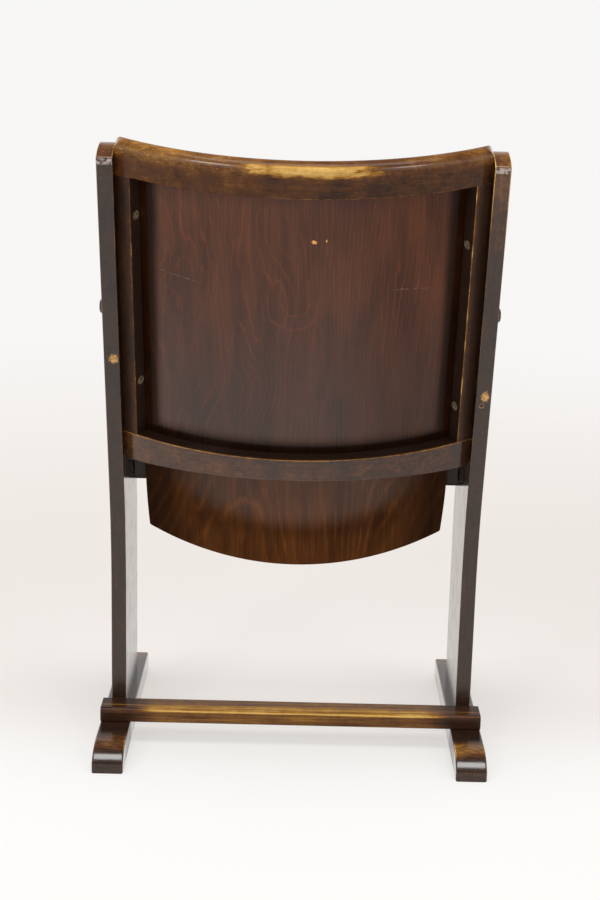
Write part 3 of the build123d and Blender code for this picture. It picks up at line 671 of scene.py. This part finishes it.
def dress(material: bpy.types.Material, *names: str) -> None:
    """Give CAD nodes a material.

    Args:
        material: Their finish.
        names: The nodes.
    """
    for name in names:
        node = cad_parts[name]
        for slot in node.material_slots:
            slot.material = material
        if not node.material_slots:
            node.data.materials.append(material)
        log.info("%s is finished in %s", name, material.name)


class Hand(Enum):
    """The sitter's side, with its sign along X."""

    LEFT = 1
    RIGHT = -1

    @property
    def word(self) -> str:
        """Name of the side in node names."""
        return self.name.lower()


# ---- sub-assemblies
@dataclass(frozen=True)
class BoardWear:
    """A board's chip, and how much further than elsewhere its lacquer is worn."""

    chip: Mark
    top: float
    arris: float
    arris_patches: float
    upper: float = 0.0
    upper_arris: float = 0.0


@dataclass
class SideBoards:
    """The two shaped boards that carry everything."""

    top_reach: float = 559.5
    upper_length: float = 170.0
    scuffed_length: float = 8.5
    nail_rim: Mark = Mark(-247.6, 511.0, 3.9, 4.2)
    nail_hole: Mark = Mark(-247.6, 511.0, 2.4, 2.4)
    rim_wear: float = 0.45
    sound: float = 0.12
    left_wear: BoardWear = BoardWear(
        chip=Mark(246.8, 567.0, 6.8, 7.2), top=0.32, arris=0.16, arris_patches=0.22
    )
    right_wear: BoardWear = BoardWear(
        chip=Mark(-251.5, 524.5, 6.2, 8.4),
        top=0.12,
        arris=0.14,
        arris_patches=0.25,
        upper=0.27,
        upper_arris=0.28,
    )
    finish: DarkLacquer = DarkLacquer()

    def build(self) -> None:
        """Dress both boards."""
        for hand in Hand:
            worn = self.left_wear if hand is Hand.LEFT else self.right_wear
            bench = Bench(f"{hand.word}_board_lacquer")
            place = Place(bench)
            reach, _ = place.back()
            arris = abs(place.facing_x).band(0.35, 0.9, 0.12)
            patches = (place.z / 60.0, place.y / 60.0, 4.0 * hand.value)
            patchy = bench.noise(patches, 3.0, 0.6).rise(0.35, 0.65)
            top = reach.rise(self.top_reach - 2.0, self.top_reach + 1.0)
            upper = reach.rise(self.top_reach - self.upper_length, self.top_reach - 20.0)
            on_arris = arris * (patchy * worn.arris_patches + worn.arris + upper * worn.upper_arris)
            wear = on_arris + self.sound + upper * worn.upper + top * worn.top
            blotches = bench.noise((place.x / 5.0, reach / 6.0, 8.0), 3.0, 0.7).rise(0.42, 0.56)
            scuffed = reach.band(self.top_reach - self.scuffed_length, self.top_reach - 1.0, 1.0)
            scuffs = scuffed * place.facing_y.rise(0.5, 0.9) * blotches
            holes = 1 - self.nail_hole.far(place.x, place.z).rise(0.8, 1.0)
            grain = Grain(place.z, place.x, place.y, 3.0 * hand.value)
            chips = place.spot(place.x, place.z, worn.chip)
            if hand is Hand.RIGHT:
                chips = chips.most(place.spot(place.x, place.z, self.nail_rim) * self.rim_wear)
            chips = chips * place.facing_y.rise(0.4, 0.8)
            material = self.finish.material(bench, grain, wear, chips=chips, scuffs=scuffs, holes=holes)
            dress(material, f"{hand.word}_side_board")


@dataclass
class RunnerFeet:
    """The two runner feet with their rounded rear ends. Places count from the boards to the rear."""

    toe_start: float = 86.0
    toe_worn_end: float = 124.0
    toe_end: float = 143.0
    dull_start: float = 30.0
    dull_end: float = 106.0
    front_worn_start: float = 170.0
    front_end: float = 235.0
    inner_x: float = 229.0
    inner_worn: Pair = (90.0, 140.0)
    sound: float = 0.08
    left_toe_wear: float = 0.42
    right_toe_wear: float = 0.5
    front_wear: float = 0.35
    arris_wear: float = 0.16
    inner_arris_wear: float = 0.2
    toe_end_wear: float = 0.05
    finish: DarkLacquer = DarkLacquer(gloss=0.14, polish=1.0, mottle=0.7, specks=0.5)

    def build(self) -> None:
        """Dress both feet."""
        for hand in Hand:
            bench = Bench(f"{hand.word}_foot_lacquer")
            place = Place(bench)
            rearward = place.y - LAYOUT.board_rear
            on_top = place.facing_z.rise(0.3, 0.7)
            arris = abs(place.facing_x).band(0.3, 0.9, 0.12)
            patchy = bench.noise((place.y / 30.0, place.x / 45.0, 2.0), 3.0, 0.6).rise(0.35, 0.65)
            inner = (-place.x * hand.value).rise(-self.inner_x - 7.0, -self.inner_x)
            inner = inner * rearward.band(*self.inner_worn, 10.0)
            toe_wear = self.left_toe_wear if hand is Hand.LEFT else self.right_toe_wear
            toe = rearward.band(self.toe_start, self.toe_worn_end, 13.0) * on_top * toe_wear
            arrises = arris * (patchy * self.arris_wear + inner * self.inner_arris_wear)
            end = rearward.rise(self.toe_end - 7.0, self.toe_end) * self.toe_end_wear
            front = (-rearward).rise(self.front_worn_start, self.front_end) * on_top * self.front_wear
            wear = toe + arrises + end + front + self.sound
            dulled = rearward.band(self.dull_start, self.dull_end, 9.0) * 0.85
            sheen = (1 - dulled) * (1 - rearward.rise(self.toe_end - 4.0, self.toe_end + 1.0) * 0.5)
            grain = Grain(place.x * 0.5, place.y, place.z, 5.0 * hand.value)
            dress(self.finish.material(bench, grain, wear, sheen), f"{hand.word}_foot")


@dataclass
class Stretcher:
    """The batten across both feet, rubbed by shoes along its whole length."""

    foot_inner_x: float = 229.0
    crest_start: float = 21.0
    crest_end: float = 40.0
    crest_wander: float = 10.0
    sound: float = 0.06
    top_wear: float = 0.49
    crest_wear: float = 0.27
    rear_wear: float = 0.51
    line: Pair = (22.0, 25.0)
    line_wear: float = 0.5
    end_share: float = 0.28
    finish: DarkLacquer = DarkLacquer(
        gloss=0.3, dull=0.5, shine=0.08, polish=0.2, mottle=0.35, streaks=1.1, specks=0.1
    )

    def build(self) -> None:
        """Dress the stretcher."""
        bench = Bench("stretcher_lacquer")
        place = Place(bench)
        rearward = place.y - LAYOUT.board_rear
        middle = 1 - abs(place.x).rise(self.foot_inner_x - 40.0, self.foot_inner_x + 8.0)
        wander = (bench.noise((place.x / 90.0, 1.0, 7.0), 2.0, 0.5) - 0.5) * self.crest_wander
        top = place.facing_z.rise(0.25, 0.6)
        crest = (rearward + wander).band(self.crest_start, self.crest_end, 5.0)
        crest = crest * place.facing_z.rise(0.3, 0.75)
        rear = place.facing_y.rise(0.55, 0.95)
        line = rearward.band(*self.line, 1.5) * top * (1 - middle) * self.line_wear
        rubbed = top * self.top_wear + crest * self.crest_wear + rear * self.rear_wear
        wear = rubbed * (middle * (1 - self.end_share) + self.end_share) + line + self.sound
        grain = Grain(place.x, place.y, place.z, 1.0)
        dress(self.finish.material(bench, grain, wear), "rear_stretcher")


@dataclass
class BackFrame:
    """Rails and stiles of the curved back frame. Reaches count up the lean from the boards' knee."""

    opening_start: float = 164.0
    opening_end: float = 533.2
    opening_half: float = 230.4
    crest_reach: float = 577.5
    half_width: float = 238.7
    low_edge: float = 133.0
    low_edge_rise: float = 12.0
    patch_middle: float = -11.0
    patch_half: float = 58.0
    top_rail_wear: float = 0.31
    patch_wear: float = 0.45
    bottom_rail_wear: float = 0.26
    stile_wear: float = 0.14
    left_arris_wear: float = 0.06
    right_arris_wear: float = 0.26
    finish: DarkLacquer = DarkLacquer()
    stile_finish: DarkLacquer = DarkLacquer(gloss=0.4, shine=0.16, polish=0.05)
    rail_finish: DarkLacquer = DarkLacquer(
        gloss=0.2, shine=0.12, mottle=0.45, streaks=0.5, specks=0.14, polish=0.8
    )

    def patch(self, bench: Bench, place: Place) -> Value:
        """Golden patch that hands wore on the crest.

        Args:
            bench: The node bench.
            place: The surface point.

        Returns:
            1 in the patch.
        """
        reach, _ = place.back()
        _, back = place.back_facing()
        ragged = bench.noise((place.x / 26.0, reach / 7.0, 5.0), 4.0, 0.7) - 0.5
        across = abs(place.x - self.patch_middle) + ragged * 120.0
        up = (reach + ragged * 22.0).rise(self.crest_reach - 20.5, self.crest_reach - 12.5)
        return (1 - across.rise(self.patch_half, self.patch_half + 38.0)) * up * back.rise(0.5, 0.8)

    def build_top_rail(self) -> None:
        """Dress the top rail, rubbed along its crest and dull on its flat rear face."""
        bench = Bench("top_rail_lacquer")
        place = Place(bench)
        reach, depth = place.back()
        up, _ = place.back_facing()
        patch = self.patch(bench, place)
        crest = reach.rise(self.crest_reach - 21.5, self.crest_reach - 5.5) * 0.1
        top = up.rise(0.75, 0.98) * 0.04
        side = place.x.rise(-120.0, 60.0) * 0.09
        upper = reach.rise(self.crest_reach - 37.5, self.crest_reach - 15.5)
        sides = abs(place.x).rise(90.0, 175.0) * upper * 0.1
        rubbed = bench.noise((place.x / 9.0, reach / 3.0, 11.0), 3.0, 0.7).rise(0.56, 0.66)
        rubbed = rubbed * reach.band(self.crest_reach - 16.5, self.crest_reach - 4.5, 3.0)
        rubbed = rubbed * place.x.rise(60.0, 110.0) * 0.22
        bright = bench.noise((place.x / 14.0, 3.0, 2.0), 3.0, 0.7).rise(0.4, 0.6)
        bright = bright * place.x.band(-190.0, 30.0, 30.0)
        low_arris = 1 - reach.rise(self.opening_end + 0.3, self.opening_end + 1.2)
        low_arris = low_arris * (bright * 0.4 + 0.14)
        smooth = bench.noise((place.x / 120.0, reach / 16.0, 21.0), 2.0, 0.5) - 0.5
        wear = side + self.top_rail_wear + patch * self.patch_wear + crest + top + sides
        wear = wear + rubbed + low_arris + smooth * 0.25
        rounded = (up.rise(0.08, 0.3) * 0.85 + 0.15) * (1 - up.rise(0.72, 0.8))
        sheen = rounded * (1 - patch.rise(0.1, 0.4))
        grain = Grain(place.x, reach, depth, 2.0)
        dress(self.rail_finish.material(bench, grain, wear, sheen), "top_rail")

    def build_bottom_rail(self) -> None:
        """Dress the bottom rail, worn along both rear arrises, with painted shade on its top face under
        the panel.
        """
        bench = Bench("bottom_rail_lacquer")
        place = Place(bench)
        reach, depth = place.back()
        radius, _ = place.arc()
        share = place.x / self.half_width
        above_edge = share * share * self.low_edge_rise + reach - self.low_edge
        patchy = bench.noise((place.x / 40.0, 4.0, 4.0), 3.0, 0.6).rise(0.42, 0.6)
        rear = radius.rise(LAYOUT.arc_radius - 2.5, LAYOUT.arc_radius - 0.7)
        top = 1 - radius.rise(LAYOUT.arc_radius - 5.5, LAYOUT.arc_radius - 2.5)
        upper_arris = reach.rise(self.opening_start - 1.1, self.opening_start - 0.7) * rear * 0.42
        lower_arris = (1 - above_edge.rise(0.4, 1.2)) * patchy * rear * 0.4
        left = place.x.rise(-120.0, 200.0) * 0.08
        # Painted shade: everything forward of the rear face, chiefly the top face under the panel, is
        # darkened (top).
        wear = left + self.bottom_rail_wear + upper_arris + lower_arris - top * 0.3
        sheen = (place.x.rise(-230.0, 60.0) * 0.4 + 0.6) * (1 - top * 0.9)
        grain = Grain(place.x, reach, depth, 6.0)
        dress(self.finish.material(bench, grain, wear, sheen), "bottom_rail")

    def build_stiles(self) -> None:
        """Dress the stiles, worn along the arris beside the opening and dark inside it; their rear faces
        are lighter beside the opening, partly from wear and partly from painted shade towards the boards.
        """
        for hand in Hand:
            bench = Bench(f"{hand.word}_stile_lacquer")
            place = Place(bench)
            reach, depth = place.back()
            radius, around = place.arc()
            _, back = place.back_facing()
            face = abs(back).rise(0.6, 0.8)
            patchy = bench.noise((reach / 38.0, 2.0 * hand.value, 1.0), 3.0, 0.6).rise(0.45, 0.68)
            inner = 1 - abs(around).rise(self.opening_half, self.opening_half + 1.0)
            rear = radius.rise(LAYOUT.arc_radius - 1.8, LAYOUT.arc_radius - 0.6)
            least = self.left_arris_wear if hand is Hand.LEFT else self.right_arris_wear
            # The rear face is lighter within about 10 mm of the opening and darker towards the board:
            # partly wear, partly painted shade.
            to_opening = 1 - abs(around).rise(self.opening_half - 0.4, self.opening_half + 9.6)
            wear = face * (to_opening * 0.2 + self.stile_wear) + inner * rear * (patchy * 0.5 + least)
            grain = Grain(reach, place.x, depth, 8.0 * hand.value)
            dress(self.stile_finish.material(bench, grain, wear, face), f"{hand.word}_stile")

    def build(self) -> None:
        """Dress the whole frame."""
        self.build_top_rail()
        self.build_bottom_rail()
        self.build_stiles()


@dataclass
class BackPanel:
    """The curved plywood panel of the back."""

    half_around: float = 225.0
    opening_start: float = 164.0
    large_chip: Mark = Mark(-15.5, 739.0, 3.6, 2.8)
    small_chip: Mark = Mark(-31.0, 740.5, 1.2, 1.8)
    left_scratch: tuple[Pair, Pair] = ((132.0, 402.0), (190.0, 410.0))
    right_scratch: tuple[Pair, Pair] = ((-165.0, 396.0), (-112.0, 400.0))
    finish: FiguredVeneer = FiguredVeneer(
        knots=(
            Knot(20.0, 392.0, 34.0, 60.0, 2.6),
            Knot(205.0, 450.0, 40.0, 80.0, -5.0),
            Knot(64.0, 262.0, 44.0, 60.0, 4.0),
            Knot(-118.0, 330.0, 40.0, 120.0, -3.0),
            Knot(120.0, 330.0, 40.0, 150.0, 3.0),
        ),
        arches=(Arch(10.0, 392.0, 34.0, 48.0, 0.05), Arch(7.0, 394.0, 22.0, 28.0, 0.07)),
    )

    def build(self) -> None:
        """Dress the panel, with painted shade along the frame, darker towards the bottom, and old damage
        on its rear face.
        """
        bench = Bench("back_panel_veneer")
        place = Place(bench)
        reach, _ = place.back()
        _, around = place.arc()
        small_chip = place.spot(place.x, place.z, self.small_chip)
        chips = place.spot(place.x, place.z, self.large_chip).most(small_chip)
        chips = chips * place.facing_y.rise(0.3, 0.7)
        rear = place.facing_y.rise(-0.2, 0.2)
        right_scratch = place.scratch(place.x, reach, *self.right_scratch)
        scratches = place.scratch(place.x, reach, *self.left_scratch).most(right_scratch) * rear
        # Painted shade on the rear face along the stiles (sides) and along the bottom rail (foot); the
        # whole panel is also darker towards the bottom (lower).
        sides = abs(around).rise(self.half_around - 30.0, self.half_around - 12.0) * rear
        foot = (1 - reach.rise(self.opening_start + 8.0, self.opening_start + 30.0)) * rear
        lower = 1 - reach.rise(self.opening_start + 30.0, self.opening_start + 330.0)
        polish = (lower * 0.5 + 0.5) * (1 - (-around).rise(20.0, 170.0) * 0.5)
        polish = polish * (1 - sides) * (1 - foot * 0.8)
        shade = (sides * 0.8).most(foot * 0.85).most(lower * 0.45)
        marks = {"scratches": scratches, "chips": chips}
        veneer = self.finish.material(bench, around, reach, 0.0, shade, polish, **marks)
        dress(veneer, "back_panel")


@dataclass
class Seat:
    """The seat's plywood panel and the rails under it."""

    panel_thickness: float = 10.0
    ply_share: float = 1 / 3.5
    rise: float = 15.0
    front_curve_start: float = 130.0
    front_curve_radius: float = 220.0
    tail_curve_start: float = 56.0
    tail_curve_radius: float = 1100.0
    rear_reach: float = 162.0
    rear_radius: float = 400.0
    polish: float = 0.62
    # Band above the rear edge where a painted dark reflection darkens the panel.
    painted_reflection_band: Pair = (44.0, 66.0)
    rails: tuple[tuple[str, tuple[str, str], bool, float], ...] = (
        ("seat_rail_beech", ("left_seat_rail", "right_seat_rail"), False, 1.0),
        ("cross_rail_beech", ("rear_cross_rail", "front_cross_rail"), True, 4.0),
    )
    veneer: FiguredVeneer = FiguredVeneer(
        knots=(Knot(74.0, 112.0, 34.0, 60.0, 1.3), Knot(10.0, 190.0, 60.0, 60.0, 1.5)),
        arches=(Arch(75.0, 96.0, 29.0, 40.0, 0.3),),
        ground=(0.058, 0.0192, 0.0050),
        line=(0.21, 0.064, 0.0125),
        gloss=0.3,
        shine=0.03,
        line_gap=19.0,
        wide_gap=19.0,
        sway=2.5,
        curl=0.8,
        slant=0.42,
        sharp=3.5,
    )

    def layer(self, along: Value, off: Value) -> Value:
        """Height of a point above the panel's underside, through its curves.

        Args:
            along: Distance to the rear of the pivot line.
            off: Distance off the pivot line.

        Returns:
            The height in millimetres.
        """
        level = off - self.rise
        past_front = (-along - self.front_curve_start).most(0.0)
        past_tail = (along - self.tail_curve_start).most(0.0)
        front = longer(past_front, level + self.front_curve_radius) - self.front_curve_radius
        tail = self.tail_curve_radius - longer(past_tail, self.tail_curve_radius - level)
        return front + tail - level

    def build_panel(self) -> None:
        """Dress the panel, with its plies on the edge, a hazy polish towards the front, and painted dark
        reflections on its sides and in a band above its rear edge.
        """
        bench = Bench("seat_panel_veneer")
        place = Place(bench)
        along, off = place.seat()
        _, facing = place.seat_facing()
        ply = self.panel_thickness * self.ply_share
        stripes = (self.layer(along, off) * (2 * math.pi / ply)).sine().rise(-0.2, 0.5)
        side_on = 1 - abs(facing).rise(0.35, 0.75)
        patchy = bench.noise((place.x / 40.0, along / 40.0, 1.0), 3.0).rise(0.35, 0.6)
        edge = abs(facing).band(0.25, 0.9, 0.12) * patchy
        to_edge = self.rear_reach - place.x * place.x / (2 * self.rear_radius) - along
        # Painted dark reflections: the panel is darkened towards its sides and in a curved band above its
        # rear edge.
        sides = abs(place.x).rise(120.0, 205.0) * 0.6
        band = to_edge.band(*self.painted_reflection_band, 16.0) * 0.32
        polish = (to_edge - place.x * place.x / 1200.0).rise(50.0, 88.0)
        polish = polish * (1 - abs(place.x).rise(110.0, 200.0)) * self.polish
        material = self.veneer.material(
            bench, place.x, along, 3.3, sides.most(band), polish, stripes * side_on * 0.8, edge * 0.5
        )
        dress(material, "seat_panel")

    def build_rails(self) -> None:
        """Dress the side rails and the cross rails, each with its fibres along its length."""
        for name, nodes, crosswise, seed in self.rails:
            bench = Bench(name)
            place = Place(bench)
            along, off = place.seat()
            fibres = (place.x, along) if crosswise else (along, place.x)
            dress(STAINED_BEECH.material(bench, Grain(*fibres, off, seed)), *nodes)

    def build(self) -> None:
        """Dress the seat."""
        self.build_panel()
        self.build_rails()


@dataclass
class Fittings:
    """Stop blocks, pads, pivots, screws and dowels."""

    stop_blocks: tuple[str, ...] = ("left_stop_block", "right_stop_block")
    dowels: tuple[str, ...] = ("foot_dowels", "seat_dowels")
    pads: tuple[str, ...] = ("down_stop_pads", "up_stop_pads")
    screws: tuple[str, ...] = (
        "back_panel_screws",
        "foot_screws",
        "stretcher_screws",
        "pivot_plate_screws",
        "stop_block_screws",
        "seat_panel_screws",
    )
    plates: tuple[str, ...] = (
        "left_pivot_plate",
        "right_pivot_plate",
        "left_pivot_washer",
        "right_pivot_washer",
    )
    bushes: tuple[str, ...] = ("side_bolt_inserts", "left_pivot_bush", "right_pivot_bush")

    def build(self) -> None:
        """Dress the fittings."""
        for name, metal, nodes in (
            ("dulled_steel", STEEL, self.screws),
            ("old_brass_screws", OLD_BRASS, ("back_fixing_screws",)),
            ("blackened_steel", BLACKENED_STEEL, self.plates),
            ("dark_bolt_steel", DARK_BOLT, ("side_bolts",)),
            ("dull_brass", BRASS, self.bushes),
        ):
            dress(metal.material(Bench(name)), *nodes)
        dress(Rubber().material(Bench("black_rubber")), *self.pads)
        bench = Bench("stop_block_beech")
        place = Place(bench)
        dress(STAINED_BEECH.material(bench, Grain(place.y, place.z, place.x)), *self.stop_blocks)
        bench = Bench("bare_beech")
        place = Place(bench)
        dress(BARE_BEECH.material(bench, Grain(place.z, place.x, place.y)), *self.dowels)


# ---- studio
@dataclass(frozen=True)
class Lamp:
    """Soft rectangular lamp, in metres and watts."""

    name: str
    place: Spot
    target: Spot
    size: Pair
    power: float

    def hang(self) -> None:
        """Hang the lamp, facing its target."""
        light = bpy.data.lights.new(self.name, "AREA")
        light.shape = "RECTANGLE"
        light.size, light.size_y = self.size
        light.energy = self.power
        carrier = bpy.data.objects.new(self.name, light)
        carrier.location = self.place
        carrier.rotation_mode = "QUATERNION"
        carrier.rotation_quaternion = (Vector(self.target) - Vector(self.place)).to_track_quat("-Z", "Y")
        bpy.context.scene.collection.objects.link(carrier)


@dataclass
class Studio:
    """Pale floor, soft light and the photograph's camera."""

    pale: Colour = (0.90, 0.885, 0.872)
    front: Colour = (1.0, 0.985, 0.965)
    painted_shade_near: Colour = (0.865, 0.81, 0.765)
    far: Colour = (0.935, 0.925, 0.915)
    ceiling: Colour = (0.16, 0.15, 0.14)
    ceiling_rise: Pair = (0.22, 0.65)
    daylight: Colour = (1.0, 0.99, 0.975)
    world_strength: float = 0.57
    floor_half: float = 40.0
    shadow_reach: Pair = (300.0, 1500.0)
    shadow_faded: float = 0.62
    painted_right_shade: float = 0.04
    lamps: tuple[Lamp, ...] = (
        Lamp("overhead_lamp", (0.0, 0.5, 2.6), (0.0, 0.0, 0.3), (1.8, 0.8), 36.0),
        Lamp("rear_left_lamp", (1.9, 3.0, 2.1), (0.0, 0.0, 0.5), (0.9, 0.9), 22.0),
        Lamp("rear_right_lamp", (-2.1, 2.8, 2.1), (0.0, 0.0, 0.5), (0.7, 0.7), 11.0),
    )
    camera_place: Spot = (0.00236, 2.23747, 0.98551)
    focal_length: float = 65.63
    sensor_width: float = 36.0
    pitch_down: float = math.radians(14.0576)
    roll: float = math.radians(1.3948)
    yaw: float = math.radians(-0.1727)

    def build_floor(self) -> None:
        """Make a wide floor that fades into the backdrop's colour far away. Near the seat its emitted
        colour carries painted light and shade.
        """
        shape = bmesh.new()
        bmesh.ops.create_grid(shape, x_segments=12, y_segments=12, size=self.floor_half)
        mesh = bpy.data.meshes.new("studio_floor")
        shape.to_mesh(mesh)
        shape.free()
        floor = bpy.data.objects.new("studio_floor", mesh)
        bpy.context.scene.collection.objects.link(floor)
        bench = Bench("studio_floor_paper")
        place = Place(bench)
        seen, _ = bench.rays()
        outward = longer(place.x, place.y)
        faded = outward.rise(*self.shadow_reach) * (1 - self.shadow_faded) + self.shadow_faded
        # Painted light and shade in the floor's emitted colour: lighter towards the camera, darker on the
        # far side of the seat and towards the right.
        tone = bench.blend(place.y.rise(-150.0, 150.0), self.painted_shade_near, self.front)
        tone = bench.blend(outward.rise(600.0, 3500.0), tone, self.far)
        right = (-place.x).rise(100.0, 1200.0) * (1 - outward.rise(900.0, 2600.0))
        tone = bench.toned(tone, right * -self.painted_right_shade + 1.0)
        paper = bench.node("ShaderNodeBsdfDiffuse", None, {"Color": self.pale, "Roughness": 0.0})
        distance = bench.node("ShaderNodeEmission", None, {"Color": tone, "Strength": 1.0})
        bench.close("ShaderNodeOutputMaterial", bench.mix(faded * seen, paper, distance))
        mesh.materials.append(bench.owner)

    def build_world(self) -> None:
        """Light the scene from all sides, and show the backdrop's colour to the camera."""
        world = bpy.data.worlds.new("studio")
        bpy.context.scene.world = world
        bench = Bench(world)
        seen, glossy = bench.rays()
        direction = bench.node("ShaderNodeTexCoord").outputs["Generated"]
        upward = bench.value("ShaderNodeSeparateXYZ", None, {0: direction}, "Z")
        light = bench.node("ShaderNodeBackground", None, {0: self.daylight, 1: self.world_strength})
        backdrop = bench.node("ShaderNodeBackground", None, {0: self.far})
        ceiling = bench.node("ShaderNodeBackground", None, {0: self.ceiling})
        surround = bench.mix(upward.rise(*self.ceiling_rise) * glossy, backdrop, ceiling)
        bench.close("ShaderNodeOutputWorld", bench.mix(seen, light, surround))

    def build_camera(self) -> None:
        """Set up the photograph's camera, which looks along -Y and slightly down."""
        data = bpy.data.cameras.new("photo_camera")
        data.sensor_width = self.sensor_width
        data.lens = self.focal_length
        camera = bpy.data.objects.new("photo_camera", data)
        camera.location = self.camera_place
        level = Euler((math.pi / 2 - self.pitch_down, 0.0, math.pi + self.yaw)).to_matrix()
        camera.rotation_euler = (level @ Euler((0.0, 0.0, self.roll)).to_matrix()).to_euler("XYZ")
        bpy.context.scene.collection.objects.link(camera)
        bpy.context.scene.camera = camera

    def build(self) -> None:
        """Set up the studio."""
        self.build_floor()
        self.build_world()
        for lamp in self.lamps:
            lamp.hang()
        self.build_camera()
        bpy.context.scene.view_settings.view_transform = "Standard"


def main() -> None:
    """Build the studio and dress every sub-assembly."""
    logging.basicConfig(level=logging.INFO, format="%(message)s")
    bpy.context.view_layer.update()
    Studio().build()
    for part in (SideBoards(), RunnerFeet(), Stretcher(), BackFrame(), BackPanel(), Seat(), Fittings()):
        part.build()
        log.info("%s is done", type(part).__name__)


if __name__ == "__main__":
    main()
